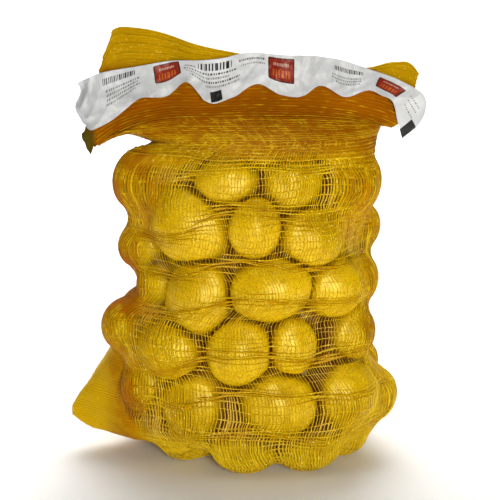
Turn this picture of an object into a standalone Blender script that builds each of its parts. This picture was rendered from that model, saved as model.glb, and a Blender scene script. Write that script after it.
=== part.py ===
"""A knitted net sack of potatoes that stands upright, with an empty flat neck and a film band across it.

Run with: blender --background --python part.py
Units are metres, +Z is up, the front of the sack faces -Y, and the origin is on the floor under the sack.
Two nodes: net_bag, the filled sack as one closed solid, and label_band, the film band on its neck.
"""

import math
import random

import bmesh
import bpy
import numpy as np

MM = 0.001

# The filled body: half widths to the left and right of x = 0 and the half depth, by height.
#            height  left  right  depth
BODY_RINGS = (
    (72, 118, 127, 86),
    (112, 127, 108, 86),
    (152, 102, 108, 83),
    (184, 108, 106, 79),
    (218, 110, 106, 76),
    (244, 108, 106, 68),
    (262, 94, 106, 60),
)
BASE_RISE = 72 * MM
BASE_SQUARENESS = 4
FLAT_SPOT = 0.34
WIDEST_SHARE = 0.97
FLOOR_CLEARANCE = 1.2 * MM

# The neck, from where it closes over the potatoes to its open rim: the height in the middle, each
# edge's distance from x = 0 and its height, and the half thickness.
#            middle  left  its height  right  its height  thickness
NECK_RINGS = (
    (275, 80, 270, 106, 277, 45),
    (285, 106, 276, 110, 284, 29),
    (295, 130, 265, 118, 281, 14),
    (306, 135, 282, 127, 287, 6),
    (318, 129, 304, 134, 298, 3.4),
    (330, 124, 326, 138, 313, 3.0),
    (340, 113.5, 356, 139, 325, 2.6),
)
EDGE_BEND = 4
RIM_REACH = 2.5
# The open rim's height at each x.
RIM = (
    (-125, 326),
    (-119, 344),
    (-115.5, 352),
    (-113, 358.5),
    (-108, 361.8),
    (-98, 362.2),
    (-74, 358.5),
    (-46, 349.5),
    (-10, 341),
    (26, 334),
    (76, 330),
    (98, 330),
    (120, 333.5),
    (133, 332),
    (139, 325),
)

# Potatoes behind the front of the net: middle x, middle height, long side, short side, the turn of the
# long side from level, and how far back from the net each one lies.
FRONT_POTATOES = (
    (-82, 237, 54, 46, 70, 0),
    (-18, 246, 47, 38, 10, 0),
    (33, 246, 54, 44, 78, 0),
    (80, 230, 60, 48, 65, 4),
    (-50, 209, 68, 55, -35, 0),
    (4, 209, 46, 37, 84, 0),
    (-84, 183, 46, 40, 30, 6),
    (-73, 160, 36, 31, 20, 8),
    (-43, 147, 60, 51, 80, 0),
    (14, 158, 64, 48, 12, 0),
    (47, 200, 52, 44, -20, 0),
    (86, 197, 46, 40, 60, 15),
    (66, 156, 50, 42, 15, 0),
    (86, 154, 46, 38, 80, 28),
    (-8, 107, 52, 47, 60, 0),
    (33, 108, 44, 36, 85, 4),
    (82, 113, 50, 44, 70, 8),
    (25, 64, 61, 54, -15, 0),
    (77, 66, 58, 54, 50, 0),
    (104, 50, 48, 40, 75, 12),
    (76, 22, 48, 40, -10, 26),
    (48, 20, 54, 38, 8, 0),
    (-4, 20, 54, 38, -5, 0),
    (-47, 60, 60, 50, 85, 0),
    (-88, 70, 46, 40, 60, 0),
    (-61, 107, 50, 42, -20, 0),
    (-103, 118, 46, 42, 70, 6),
    (-92, 34, 44, 38, 10, 8),
    (-56, 22, 46, 38, 0, 22),
)
# Courses against the back of the net: height, number of potatoes, and their typical long and short side.
BACK_COURSES = (
    (22, 4, 52, 40),
    (62, 4, 60, 50),
    (108, 4, 58, 50),
    (154, 4, 58, 48),
    (200, 4, 56, 48),
    (240, 3, 52, 44),
)
# Courses in the middle of the sack: height, number, long side and short side.
CORE_COURSES = (
    (24, 3, 54, 44),
    (74, 2, 62, 54),
    (126, 2, 60, 52),
    (178, 2, 60, 50),
    (226, 3, 54, 46),
)
COURSE_SPREAD = 0.66
COURSE_SHIFT = 0.22
BACK_SPREAD = 1.12
CORE_SPREAD = 0.8
HEIGHT_JITTER = 6 * MM
DEPTH_JITTER = 5 * MM
MOST_TURN = 40
# How far potatoes give way where two would cross, at the front, where each stays nearly in its place on
# the net, and elsewhere; the share of a crossing taken out at each turn, and the number of turns; how
# much of the body's width each lot may take, and the height that no potato reaches above.
FRONT_GIVE = (0.14, 1.0, 0.14)
INNER_GIVE = (1.0, 1.0, 1.0)
GIVE_SHARE = 0.35
GIVE_TURNS = 90
FRONT_SPREAD = 1.05
INNER_SPREAD = 0.89
HIGHEST_TOP = 272 * MM
UNEVENNESS = 0.09
SEED = 41
THICKNESS_RATIO = 0.90

# The net's fall between potatoes, and how often it is let settle.
NET_PULL = 0.0042
NET_SETTLES = 120
NET_FIRST_SHARE = 0.9
NET_OVER_POTATO = 1.0 * MM

# How finely the sack is divided: points around, rows under it, rows up its body and rows up its neck.
AROUND = 92
UNDER_ROWS = 12
BODY_ROWS = 30
NECK_ROWS = 14
SMOOTH_BELOW = math.radians(50)

# Soft upright folds of the neck: wavelength, depth and phase.
NECK_FOLDS = (
    (118, 4.5, 0.9),
    (61, 2.4, 2.1),
    (37, 1.1, 0.3),
)
FOLDS_FROM = 272 * MM
FOLDS_FULL = 312 * MM

# The empty bottom corner of the net, from its tip into the body: (x, lowest, highest, half thickness).
CORNER_SECTIONS = (
    (-155, 29.5, 38, 1.5),
    (-148, 24.5, 50, 5),
    (-140, 20, 60.5, 9.5),
    (-132, 17.5, 73.5, 14.5),
    (-125, 16.4, 84, 19),
    (-116, 14.3, 98, 26),
    (-107, 13, 102, 32.5),
    (-98, 12, 104, 37),
    (-88, 12, 104, 38),
)
CORNER_Y = -6 * MM
CORNER_SQUARENESS = 3
CORNER_AROUND = 16
CORNER_COLUMNS = 10

# The film band: points on its upper and its lower edge, as (place along the band, x, height).
BAND_TOP = (
    (-145, -145, 317),
    (-126, -126, 325),
    (-96, -96, 331),
    (-66, -66, 336),
    (-20, -20, 339),
    (-6, -6, 342),
    (26, 26, 341),
    (76, 76, 337),
    (98, 98, 329.5),
    (120, 126, 318.5),
    (134, 141, 310),
    (146, 147, 300),
)
BAND_LOW = (
    (-145, -140, 284),
    (-134, -134, 280),
    (-116, -116, 286.5),
    (-102, -102, 297),
    (-92, -92, 305.5),
    (-66, -66, 309),
    (-52, -52, 320),
    (-34, -34, 304),
    (-14, -14, 307),
    (6, 6, 317.5),
    (26, 26, 309),
    (44, 44, 308.5),
    (55, 55, 316.5),
    (78, 78, 308),
    (98, 97, 313.5),
    (112, 107, 309),
    (124, 117, 303),
    (136, 122, 286),
    (146, 127, 271),
)
BAND_THICKNESS = 0.8 * MM
BAND_GAP = 3.2 * MM
BAND_COLUMNS = 72
BAND_ROWS = 5
BAND_END_CURL = 14 * MM
BAND_LEFT_CURL = 30 * MM
BAND_RIGHT_CURL = 18 * MM
BAND_PUCKER = 7 * MM
BAND_PUCKER_LEAST = 0.35
BAND_PUCKER_LENGTH = 46 * MM
BAND_PUCKER_START = -12 * MM
BAND_PUCKER_BEND = 1.5
BAND_LIES_FROM = 306 * MM


def mm(values):
    """The row of millimetres as an array in metres."""
    return np.array(values, float) * MM


def smooth(value):
    """An S-curve from 0 to 1 as the value goes from 0 to 1."""
    value = np.clip(value, 0.0, 1.0)
    return value * value * (3 - 2 * value)


def along(table, position):
    """The other columns of the table, read smoothly at this value of its first column, in metres."""
    rows = mm(table)
    order = np.argsort(rows[:, 0])
    rows = rows[order]
    keys = rows[:, 0]
    position = np.clip(position, keys[0], keys[-1])
    low = np.clip(np.searchsorted(keys, position, side="right") - 1, 0, len(keys) - 2)
    step = keys[low + 1] - keys[low]
    part = (position - keys[low]) / step
    slopes = np.gradient(rows[:, 1:], keys, axis=0)
    a, b = rows[low, 1:], rows[low + 1, 1:]
    part, step = np.expand_dims(part, -1), np.expand_dims(step, -1)
    h = part * part * (3 - 2 * part)
    lead = part * (1 - part) ** 2 * step
    lag = -part * part * (1 - part) * step
    return a + (b - a) * h + slopes[low] * lead + slopes[low + 1] * lag


def body_ring(height):
    """(middle x, half width, half depth) of the body at this height."""
    left, right, depth = np.moveaxis(along(BODY_RINGS, height), -1, 0)
    return (right - left) / 2, (right + left) / 2, depth


# ---- Potatoes ----


def potato(x, y, z, long_side, short_side, turn):
    """A potato as its middle, its half axes and a matrix whose rows are its axes."""
    c, s = math.cos(math.radians(turn)), math.sin(math.radians(turn))
    axes = np.array([(c, 0, s), (0, 1, 0), (-s, 0, c)])
    half = np.array([long_side, short_side * THICKNESS_RATIO, short_side]) / 2
    return np.array([x, y, z], float), half, axes


def wall_depth(x, z):
    """Half depth of the body at this x and height."""
    middle, half, depth = body_ring(np.maximum(z, BASE_RISE))
    across = np.minimum(np.abs(x - middle) / half, WIDEST_SHARE)
    below = np.maximum(0.0, BASE_RISE - z) / BASE_RISE
    narrowed = (1 - below**BASE_SQUARENESS) ** (1 / BASE_SQUARENESS)
    return depth * np.sqrt(1 - across * across) * narrowed


def front_potatoes():
    """The potatoes of the hand-set table, each against the front of the net."""
    made = []
    for row in FRONT_POTATOES:
        x, z, long_side, short_side = mm(row[:4])
        inset = short_side * THICKNESS_RATIO * 0.5 + row[5] * MM
        y = -max(float(wall_depth(x, z)) - inset, 0.0)
        made.append(potato(x, y, z, long_side, short_side, row[4]))
    return made


def course_potatoes(courses, side, chance):
    """Potatoes in level courses, staggered from one course to the next, side 1 at the back and 0 in the core."""
    made = []
    for number, row in enumerate(courses):
        count = row[1]
        z, long_side, short_side = mm((row[0], row[2], row[3]))
        middle, half, _ = body_ring(np.maximum(z, BASE_RISE))
        shift = COURSE_SHIFT if number % 2 else -COURSE_SHIFT
        for place in range(count):
            level = (place + 0.5 + shift) / count * 2 - 1
            x = middle + level * half * COURSE_SPREAD * (BACK_SPREAD if side else CORE_SPREAD)
            grow = 1 + chance.uniform(-UNEVENNESS, UNEVENNESS)
            up = z + chance.uniform(-HEIGHT_JITTER, HEIGHT_JITTER)
            up = max(up, short_side * grow / 2 + FLOOR_CLEARANCE)
            inset = short_side * grow * THICKNESS_RATIO * 0.5
            y = max(float(wall_depth(x, up)) - inset, 0.0) * side
            y += chance.uniform(-DEPTH_JITTER, DEPTH_JITTER) * (1 - side)
            turn = chance.uniform(-MOST_TURN, MOST_TURN)
            made.append(potato(x, y, up, long_side * grow, short_side * grow, turn))
    return made


def pushed_apart(potatoes, give, spread):
    """The potatoes moved by turns until they hardly cross, each as far as its give and spread let it."""
    middles, halves, axes = (np.array(part) for part in zip(*potatoes))
    spans = np.sqrt(((axes * halves[:, :, None]) ** 2).sum(axis=1))
    for _ in range(GIVE_TURNS):
        between = middles[None] - middles[:, None]
        distance = np.linalg.norm(between, axis=-1) + np.eye(len(middles))
        way = between / distance[..., None]
        turned = np.einsum("ikl,ijl->ijk", axes, way)
        straight = 1 / np.sqrt(((turned / halves[:, None]) ** 2).sum(-1) + np.eye(len(middles)))
        support = np.sqrt(((turned * halves[:, None]) ** 2).sum(-1))
        reach = (straight + support) / 2
        crossing = np.maximum(0, reach + reach.T - distance)
        np.fill_diagonal(crossing, 0)
        middles = middles - (way * crossing[..., None]).sum(axis=1) * give * GIVE_SHARE
        room = np.maximum(wall_depth(middles[:, 0], middles[:, 2]) - spans[:, 1], 0)
        middles[:, 1] = np.clip(middles[:, 1], -room, room)
        lowest = spans[:, 2] + FLOOR_CLEARANCE
        middles[:, 2] = np.clip(middles[:, 2], lowest, HIGHEST_TOP - spans[:, 2])
        across, half, _ = body_ring(np.maximum(middles[:, 2], BASE_RISE))
        side = half * spread - spans[:, 0]
        middles[:, 0] = np.clip(middles[:, 0], across - side, across + side)
    return list(zip(middles, halves, axes))


def all_potatoes():
    """Every potato in the sack, as (middle, half axes, axes)."""
    chance = random.Random(SEED)
    front = front_potatoes()
    inner = course_potatoes(BACK_COURSES, 1, chance) + course_potatoes(CORE_COURSES, 0, chance)
    give = np.array([FRONT_GIVE] * len(front) + [INNER_GIVE] * len(inner))
    spread = np.array([FRONT_SPREAD] * len(front) + [INNER_SPREAD] * len(inner))
    return pushed_apart(front + inner, give, spread)


# ---- Net ----


def neck_fold(x, z):
    """How far the neck's folds stand back from its middle plane at this place."""
    total = 0.0
    for wavelength, depth, phase in NECK_FOLDS:
        total = total + depth * MM * np.sin(2 * math.pi * x / (wavelength * MM) + phase)
    return total * smooth((z - FOLDS_FROM) / (FOLDS_FULL - FOLDS_FROM))


def outermost(start, reach, potatoes):
    """How far along each ray, as a share of its reach, the last potato is left. 0 where none is met."""
    farthest = np.zeros(start.shape[:-1])
    for middle, half, axes in potatoes:
        grown = half + NET_OVER_POTATO
        from_middle = (start - middle) @ axes.T / grown
        heading = reach @ axes.T / grown
        a = (heading * heading).sum(-1)
        b = (from_middle * heading).sum(-1)
        inside = b * b - a * ((from_middle * from_middle).sum(-1) - 1)
        leave = (-b + np.sqrt(np.maximum(inside, 0))) / a
        farthest = np.where((inside > 0) & (leave > farthest), leave, farthest)
    return farthest


def sack_rays(around):
    """Where each point of the body's net starts and which way it lies, row by row from under to the neck."""
    turns = np.arange(around) * 2 * math.pi / around
    starts, reaches = [], []
    middle, half, depth = body_ring(BASE_RISE)
    for row in range(1, UNDER_ROWS + 1):
        dip = math.pi / 2 * (1 - row / (UNDER_ROWS + 1))
        flat, down = math.cos(dip), -math.sin(dip)
        starts.append(np.tile((middle, 0, BASE_RISE), (around, 1)))
        reach = (half * flat * np.cos(turns), depth * flat * np.sin(turns), np.full(around, BASE_RISE * down))
        reaches.append(np.stack(reach, -1))
    top = BODY_RINGS[-1][0] * MM
    for row in range(BODY_ROWS + 1):
        height = BASE_RISE + (top - BASE_RISE) * row / BODY_ROWS
        middle, half, depth = body_ring(height)
        starts.append(np.tile((middle, 0, height), (around, 1)))
        reaches.append(np.stack((half * np.cos(turns), depth * np.sin(turns), np.zeros(around)), -1))
    return np.array(starts), np.array(reaches)


def settle_net(least, floor_rows):
    """A net that rests on the potatoes and is drawn in between them, as shares of each ray's reach."""
    share = np.maximum(least, NET_FIRST_SHARE)
    for _ in range(NET_SETTLES):
        sideways = (np.roll(share, 1, 1) + np.roll(share, -1, 1)) / 2
        up = np.vstack((share[1:], np.ones((1, share.shape[1]))))
        down = np.vstack((share[:1], share[:-1]))
        share = np.maximum(least, 0.5 * sideways + 0.25 * (up + down) - NET_PULL)
        share[:floor_rows] = least[:floor_rows]
    return share


def body_rows(potatoes, around):
    """The body's net as rows of points, from under the sack to where the neck starts."""
    starts, reaches = sack_rays(around)
    least = outermost(starts, reaches, potatoes)
    to_floor = np.where(reaches[..., 2] < 0, BASE_RISE / np.maximum(-reaches[..., 2], 1e-9), 99.0)
    level = np.sqrt(1 - (reaches[:UNDER_ROWS, 0, 2] / BASE_RISE) ** 2)
    floor_rows = int((level < FLAT_SPOT).sum())
    least[:floor_rows] = to_floor[:floor_rows]
    share = settle_net(np.minimum(least, to_floor), floor_rows)
    points = starts + reaches * np.minimum(share, to_floor)[..., None]
    points[..., 2] = np.maximum(points[..., 2], 0.0)
    return points


def neck_row(position, around):
    """One ring of the neck, at a position from 0, above the body, to the last of its rings."""
    last = len(NECK_RINGS) - 1
    steps = [(number,) + tuple(row) for number, row in enumerate(NECK_RINGS)]
    middle, left, left_z, right, right_z, thick = along(steps, position * MM)
    turns = np.arange(around) * 2 * math.pi / around
    across = np.cos(turns)
    x = (right - left) / 2 + (right + left) / 2 * across
    edge = np.where(across < 0, left_z, right_z)
    z = middle + (edge - middle) * np.abs(across) ** EDGE_BEND
    z = z + (along(RIM, x)[..., 0] - z) * smooth((position - (last - RIM_REACH)) / RIM_REACH)
    y = thick * np.sin(turns) + neck_fold(x, z)
    return np.stack((x, y, z), -1)


def neck_rows(around):
    """The neck's rings, from just above the body to its rim."""
    last = len(NECK_RINGS) - 1
    return np.array([neck_row(last * row / NECK_ROWS, around) for row in range(NECK_ROWS + 1)])


def lofted(name, rows, material):
    """A closed object through the rows of points, with a fan under it and a strip along its flat top."""
    shape = bmesh.new()
    rings = [[shape.verts.new(point) for point in row] for row in rows]
    around = len(rings[0])
    for low, high in zip(rings, rings[1:]):
        for i in range(around):
            j = (i + 1) % around
            shape.faces.new((low[i], low[j], high[j], high[i]))
    base, rim = rings[0], rings[-1]
    middle = shape.verts.new(np.mean([vert.co for vert in base], axis=0))
    for i in range(around):
        shape.faces.new((base[(i + 1) % around], base[i], middle))
    for i in range(around // 2):
        corners = (rim[i], rim[i + 1], rim[-i - 1], rim[-i])
        shape.faces.new([vert for place, vert in enumerate(corners) if vert not in corners[:place]])
    bmesh.ops.recalc_face_normals(shape, faces=shape.faces)
    return finished(name, shape, material)


def finished(name, shape, material):
    """The bmesh as an object of this name and material."""
    mesh = bpy.data.meshes.new(name)
    bmesh.ops.triangulate(shape, faces=shape.faces)
    shape.to_mesh(mesh)
    shape.free()
    mesh.shade_smooth()
    mesh.set_sharp_from_angle(angle=SMOOTH_BELOW)
    mesh.materials.append(material)
    obj = bpy.data.objects.new(name, mesh)
    bpy.context.scene.collection.objects.link(obj)
    return obj


def corner_row(x):
    """One upright ring of the empty corner."""
    low, high, half = along(CORNER_SECTIONS, x)
    turns = np.arange(CORNER_AROUND) * 2 * math.pi / CORNER_AROUND
    back, up = np.cos(turns), np.sin(turns)
    size = (np.abs(back) ** CORNER_SQUARENESS + np.abs(up) ** CORNER_SQUARENESS) ** (-1 / CORNER_SQUARENESS)
    y = CORNER_Y + half * back * size
    z = (low + high) / 2 + (high - low) / 2 * up * size
    return np.stack((np.full(CORNER_AROUND, x), y, z), -1)


def corner(material):
    """The empty bottom corner of the net, a pocket that opens from its tip towards the body."""
    tip, inner = CORNER_SECTIONS[0][0] * MM, CORNER_SECTIONS[-1][0] * MM
    rows = [corner_row(tip + (inner - tip) * column / CORNER_COLUMNS) for column in range(CORNER_COLUMNS + 1)]
    return lofted("corner", rows, material)


def join(obj, other):
    """Joins the other object to this one and removes it."""
    union = obj.modifiers.new("union", "BOOLEAN")
    union.operation = "UNION"
    union.solver = "EXACT"
    union.object = other
    bpy.context.view_layer.objects.active = obj
    bpy.ops.object.modifier_apply(modifier=union.name)
    bpy.data.objects.remove(other, do_unlink=True)


def net_bag(material):
    """The filled sack with its neck and its empty corner."""
    potatoes = all_potatoes()
    rows = np.concatenate((body_rows(potatoes, AROUND), neck_rows(AROUND)))
    sack = lofted("net_bag", rows, material)
    join(sack, corner(material))
    return sack


# ---- Film band ----


def neck_front(x, z):
    """The y of the neck's front at this place, or where it would be past the neck's edges."""
    steps = [(row[0], row[5]) for row in NECK_RINGS]
    thick = along(steps, z)[..., 0]
    return neck_fold(x, z) - thick


def band_point(place, height, layer):
    """A point of the band at this place along it, height from 0 to 1 and layer from 0, its front, to 1."""
    top = along(BAND_TOP, place)
    low = along(BAND_LOW, place)
    x, z = low + (top - low) * height
    behind = np.maximum(z, BAND_LIES_FROM)
    y = neck_front(x, behind) - BAND_GAP
    wave = 0.5 - 0.5 * np.cos(2 * math.pi * (place - BAND_PUCKER_START) / BAND_PUCKER_LENGTH)
    pucker = BAND_PUCKER_LEAST + (1 - BAND_PUCKER_LEAST) * wave
    y = y - BAND_PUCKER * (1 - height) ** BAND_PUCKER_BEND * pucker
    first, last = BAND_TOP[0][0] * MM, BAND_TOP[-1][0] * MM
    past = np.maximum((first - place) / BAND_LEFT_CURL, (place - last) / BAND_RIGHT_CURL) + 1
    y = y + BAND_END_CURL * np.maximum(past, 0) ** 2
    return np.stack(np.broadcast_arrays(x, y + BAND_THICKNESS * (layer - 1), z), -1)


def label_band(material):
    """The thin film band, both faces divided alike."""
    first, last = BAND_TOP[0][0] * MM, BAND_TOP[-1][0] * MM
    shape = bmesh.new()
    sheets = []
    for layer in (0, 1):
        sheet = []
        for column in range(BAND_COLUMNS + 1):
            place = np.float64(first + (last - first) * column / BAND_COLUMNS)
            heights = [row / BAND_ROWS for row in range(BAND_ROWS + 1)]
            sheet.append([shape.verts.new(band_point(place, height, layer)) for height in heights])
        sheets.append(sheet)
    front, back = sheets
    for i in range(BAND_COLUMNS):
        for j in range(BAND_ROWS):
            shape.faces.new((front[i][j], front[i + 1][j], front[i + 1][j + 1], front[i][j + 1]))
            shape.faces.new((back[i][j], back[i][j + 1], back[i + 1][j + 1], back[i + 1][j]))
        for j in (0, BAND_ROWS):
            shape.faces.new((front[i][j], front[i + 1][j], back[i + 1][j], back[i][j]))
    for i in (0, BAND_COLUMNS):
        for j in range(BAND_ROWS):
            shape.faces.new((front[i][j], front[i][j + 1], back[i][j + 1], back[i][j]))
    bmesh.ops.recalc_face_normals(shape, faces=shape.faces)
    return finished("label_band", shape, material)


# ---- Scene ----


def clear_scene():
    """Removes every object."""
    for obj in list(bpy.data.objects):
        bpy.data.objects.remove(obj, do_unlink=True)


def plain_material(name, colour, roughness):
    """A Principled material of one colour, given as linear red, green and blue."""
    material = bpy.data.materials.new(name)
    material.use_nodes = True
    shader = material.node_tree.nodes["Principled BSDF"]
    shader.inputs["Base Color"].default_value = (*colour, 1)
    shader.inputs["Roughness"].default_value = roughness
    shader.inputs["Metallic"].default_value = 0.0
    return material


def main():
    """Builds the sack and its band."""
    clear_scene()
    net_bag(plain_material("yellow_net", (0.62, 0.40, 0.02), 0.55))
    label_band(plain_material("white_film", (0.72, 0.71, 0.70), 0.35))


main()
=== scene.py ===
"""Looks of a knitted net sack of potatoes: potatoes, netting, empty corner, film band and studio.

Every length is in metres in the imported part's own frame: +Z up, the front towards -Y, the origin on the
floor. Rows of places and sizes are in millimetres.
"""

import logging
import math
import random
from dataclasses import dataclass, field
from enum import Enum

import bmesh
import bpy
import numpy as np
from mathutils.bvhtree import BVHTree
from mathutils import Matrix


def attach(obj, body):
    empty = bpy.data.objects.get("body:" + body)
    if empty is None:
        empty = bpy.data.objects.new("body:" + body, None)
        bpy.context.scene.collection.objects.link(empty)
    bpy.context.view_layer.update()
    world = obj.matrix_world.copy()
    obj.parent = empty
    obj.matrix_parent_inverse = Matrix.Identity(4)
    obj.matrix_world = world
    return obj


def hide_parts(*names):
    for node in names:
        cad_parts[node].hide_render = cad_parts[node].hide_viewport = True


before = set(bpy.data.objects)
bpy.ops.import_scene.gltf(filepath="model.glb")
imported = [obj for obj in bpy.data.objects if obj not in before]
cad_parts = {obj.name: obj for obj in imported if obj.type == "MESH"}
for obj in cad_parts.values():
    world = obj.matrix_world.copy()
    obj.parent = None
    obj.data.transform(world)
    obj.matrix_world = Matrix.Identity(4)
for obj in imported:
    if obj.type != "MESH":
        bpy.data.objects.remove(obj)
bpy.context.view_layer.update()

MM = 0.001
BODY = "root"
log = logging.getLogger("net_of_potatoes")

Rows = np.ndarray
Colour = tuple[float, float, float]
Material = bpy.types.Material
NodeTree = bpy.types.NodeTree
Piece = bpy.types.Object
Socket = bpy.types.NodeSocket


class Slot(Enum):
    """Material slots."""

    NET = "potato_net"
    FILM = "film"


class Side(Enum):
    """Where a potato lies: its give where two would cross, and its share of the body's width."""

    FRONT = ((0.14, 1.0, 0.14), 1.05)
    INNER = ((1.0, 1.0, 1.0), 0.89)


# ---- Shared sums ----


def mm(values: object) -> Rows:
    """The numbers in millimetres as an array in metres."""
    return np.array(values, float) * MM


def smooth(value: Rows) -> Rows:
    """An S-curve from 0 to 1 as the value goes from 0 to 1."""
    value = np.clip(value, 0.0, 1.0)
    return value * value * (3 - 2 * value)


def ease(value: Rows, start: float, end: float) -> Rows:
    """An S-curve from 0 to 1 as the value goes from start to end, either of which may be the larger."""
    return smooth((value - start) / (end - start))


def most(first: Rows, *others: Rows) -> Rows:
    """The largest of several values at each place."""
    for other in others:
        first = np.maximum(first, other)
    return first


def ring_turns(count: int) -> Rows:
    """The angle of each of a ring's points."""
    return np.arange(count) * 2 * math.pi / count


def along(table: tuple, position: Rows) -> Rows:
    """Reads a table of millimetres smoothly.

    Args:
        table: rows of numbers, the first of them the place that the row is at.
        position: the place or places to read, in metres.

    Returns:
        The other columns at each place, in metres.
    """
    rows = mm(table)
    rows = rows[np.argsort(rows[:, 0])]
    keys = rows[:, 0]
    position = np.clip(position, keys[0], keys[-1])
    low = np.clip(np.searchsorted(keys, position, side="right") - 1, 0, len(keys) - 2)
    step = keys[low + 1] - keys[low]
    part = (position - keys[low]) / step
    slopes = np.gradient(rows[:, 1:], keys, axis=0)
    a, b = rows[low, 1:], rows[low + 1, 1:]
    part, step = np.expand_dims(part, -1), np.expand_dims(step, -1)
    h = part * part * (3 - 2 * part)
    lead = part * (1 - part) ** 2 * step
    lag = -part * part * (1 - part) * step
    return a + (b - a) * h + slopes[low] * lead + slopes[low + 1] * lag


def grid_at(grid: Rows, row: Rows, column: Rows) -> Rows:
    """Reads a grid between its points, round and round along its columns.

    Args:
        grid: values by row and column.
        row: fractional rows.
        column: fractional columns, taken round the ring.

    Returns:
        The values there.
    """
    row = np.clip(row, 0, len(grid) - 1.000001)
    low = np.floor(row).astype(int)
    left = np.floor(column).astype(int)
    up, over = row - low, column - left
    left, right = left % grid.shape[1], (left + 1) % grid.shape[1]
    if grid.ndim == 3:
        up, over = up[..., None], over[..., None]
    lower = grid[low, left] * (1 - over) + grid[low, right] * over
    upper = grid[low + 1, left] * (1 - over) + grid[low + 1, right] * over
    return lower * (1 - up) + upper * up


# ---- Form of the sack ----


@dataclass(frozen=True)
class PotatoPlace:
    """One potato's middle, half axes and the matrix whose rows are its axes."""

    middle: Rows
    half: Rows
    axes: Rows


@dataclass
class SackForm:
    """The sack's sizes, as its solid has them, with the places of its potatoes and the lie of its net."""

    # height, left, right, depth
    body_rings: tuple = (
        (72, 118, 127, 86),
        (112, 127, 108, 86),
        (152, 102, 108, 83),
        (184, 108, 106, 79),
        (218, 110, 106, 76),
        (244, 108, 106, 68),
        (262, 94, 106, 60),
    )
    base_rise: float = 72 * MM
    base_squareness: float = 4
    flat_spot: float = 0.34
    floor_clearance: float = 1.2 * MM
    # middle, left, its height, right, its height, thickness
    neck_rings: tuple = (
        (275, 80, 270, 106, 277, 45),
        (285, 106, 276, 110, 284, 29),
        (295, 130, 265, 118, 281, 14),
        (306, 135, 282, 127, 287, 6),
        (318, 129, 304, 134, 298, 3.4),
        (330, 124, 326, 138, 313, 3.0),
        (340, 113.5, 356, 139, 325, 2.6),
    )
    edge_bend: float = 4
    rim_reach: float = 2.5
    rim: tuple = (
        (-125, 326),
        (-119, 344),
        (-115.5, 352),
        (-113, 358.5),
        (-108, 361.8),
        (-98, 362.2),
        (-74, 358.5),
        (-46, 349.5),
        (-10, 341),
        (26, 334),
        (76, 330),
        (98, 330),
        (120, 333.5),
        (133, 332),
        (139, 325),
    )
    # middle x, middle height, long side, short side, turn from level, how far back from the net
    front_potatoes: tuple = (
        (-82, 237, 54, 46, 70, 0),
        (-18, 246, 47, 38, 10, 0),
        (33, 246, 54, 44, 78, 0),
        (80, 230, 60, 48, 65, 4),
        (-50, 209, 68, 55, -35, 0),
        (4, 209, 46, 37, 84, 0),
        (-84, 183, 46, 40, 30, 6),
        (-73, 160, 36, 31, 20, 8),
        (-43, 147, 60, 51, 80, 0),
        (14, 158, 64, 48, 12, 0),
        (47, 200, 52, 44, -20, 0),
        (86, 197, 46, 40, 60, 15),
        (66, 156, 50, 42, 15, 0),
        (86, 154, 46, 38, 80, 28),
        (-8, 107, 52, 47, 60, 0),
        (33, 108, 44, 36, 85, 4),
        (82, 113, 50, 44, 70, 8),
        (25, 64, 61, 54, -15, 0),
        (77, 66, 58, 54, 50, 0),
        (104, 50, 48, 40, 75, 12),
        (76, 22, 48, 40, -10, 26),
        (48, 20, 54, 38, 8, 0),
        (-4, 20, 54, 38, -5, 0),
        (-47, 60, 60, 50, 85, 0),
        (-88, 70, 46, 40, 60, 0),
        (-61, 107, 50, 42, -20, 0),
        (-103, 118, 46, 42, 70, 6),
        (-92, 34, 44, 38, 10, 8),
        (-56, 22, 46, 38, 0, 22),
    )
    # height, number, long side, short side
    back_courses: tuple = (
        (22, 4, 52, 40),
        (62, 4, 60, 50),
        (108, 4, 58, 50),
        (154, 4, 58, 48),
        (200, 4, 56, 48),
        (240, 3, 52, 44),
    )
    core_courses: tuple = (
        (24, 3, 54, 44),
        (74, 2, 62, 54),
        (126, 2, 60, 52),
        (178, 2, 60, 50),
        (226, 3, 54, 46),
    )
    course_spread: float = 0.66
    course_shift: float = 0.22
    back_spread: float = 1.12
    core_spread: float = 0.8
    height_jitter: float = 6 * MM
    depth_jitter: float = 5 * MM
    most_turn: float = 40
    widest_share: float = 0.97
    net_first_share: float = 0.9
    unevenness: float = 0.09
    seed: int = 41
    thickness_ratio: float = 0.90
    give_share: float = 0.35
    give_turns: int = 90
    highest_top: float = 272 * MM
    net_pull: float = 0.0042
    net_settles: int = 120
    net_over_potato: float = 1.0 * MM
    around: int = 92
    under_rows: int = 12
    body_rows: int = 30
    # wavelength, depth and phase
    neck_folds: tuple = ((118, 4.5, 0.9), (61, 2.4, 2.1), (37, 1.1, 0.3))
    folds_from: float = 272 * MM
    folds_full: float = 312 * MM

    def ring(self, height: Rows) -> tuple[Rows, Rows, Rows]:
        """The body's middle x, half width and half depth at a height."""
        left, right, depth = np.moveaxis(along(self.body_rings, height), -1, 0)
        return (right - left) / 2, (right + left) / 2, depth

    def wall_depth(self, x: Rows, z: Rows) -> Rows:
        """Half depth of the body at this x and height."""
        middle, half, depth = self.ring(np.maximum(z, self.base_rise))
        across = np.minimum(np.abs(x - middle) / half, self.widest_share)
        below = np.maximum(0.0, self.base_rise - z) / self.base_rise
        narrowed = (1 - below**self.base_squareness) ** (1 / self.base_squareness)
        return depth * np.sqrt(1 - across * across) * narrowed

    def placed(
        self, x: float, y: float, z: float, long_side: float, short_side: float, turn: float
    ) -> PotatoPlace:
        """A potato of these sides with its long side turned from level, in degrees."""
        c, s = math.cos(math.radians(turn)), math.sin(math.radians(turn))
        axes = np.array([(c, 0, s), (0, 1, 0), (-s, 0, c)])
        half = np.array([long_side, short_side * self.thickness_ratio, short_side]) / 2
        return PotatoPlace(np.array([x, y, z], float), half, axes)

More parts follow.
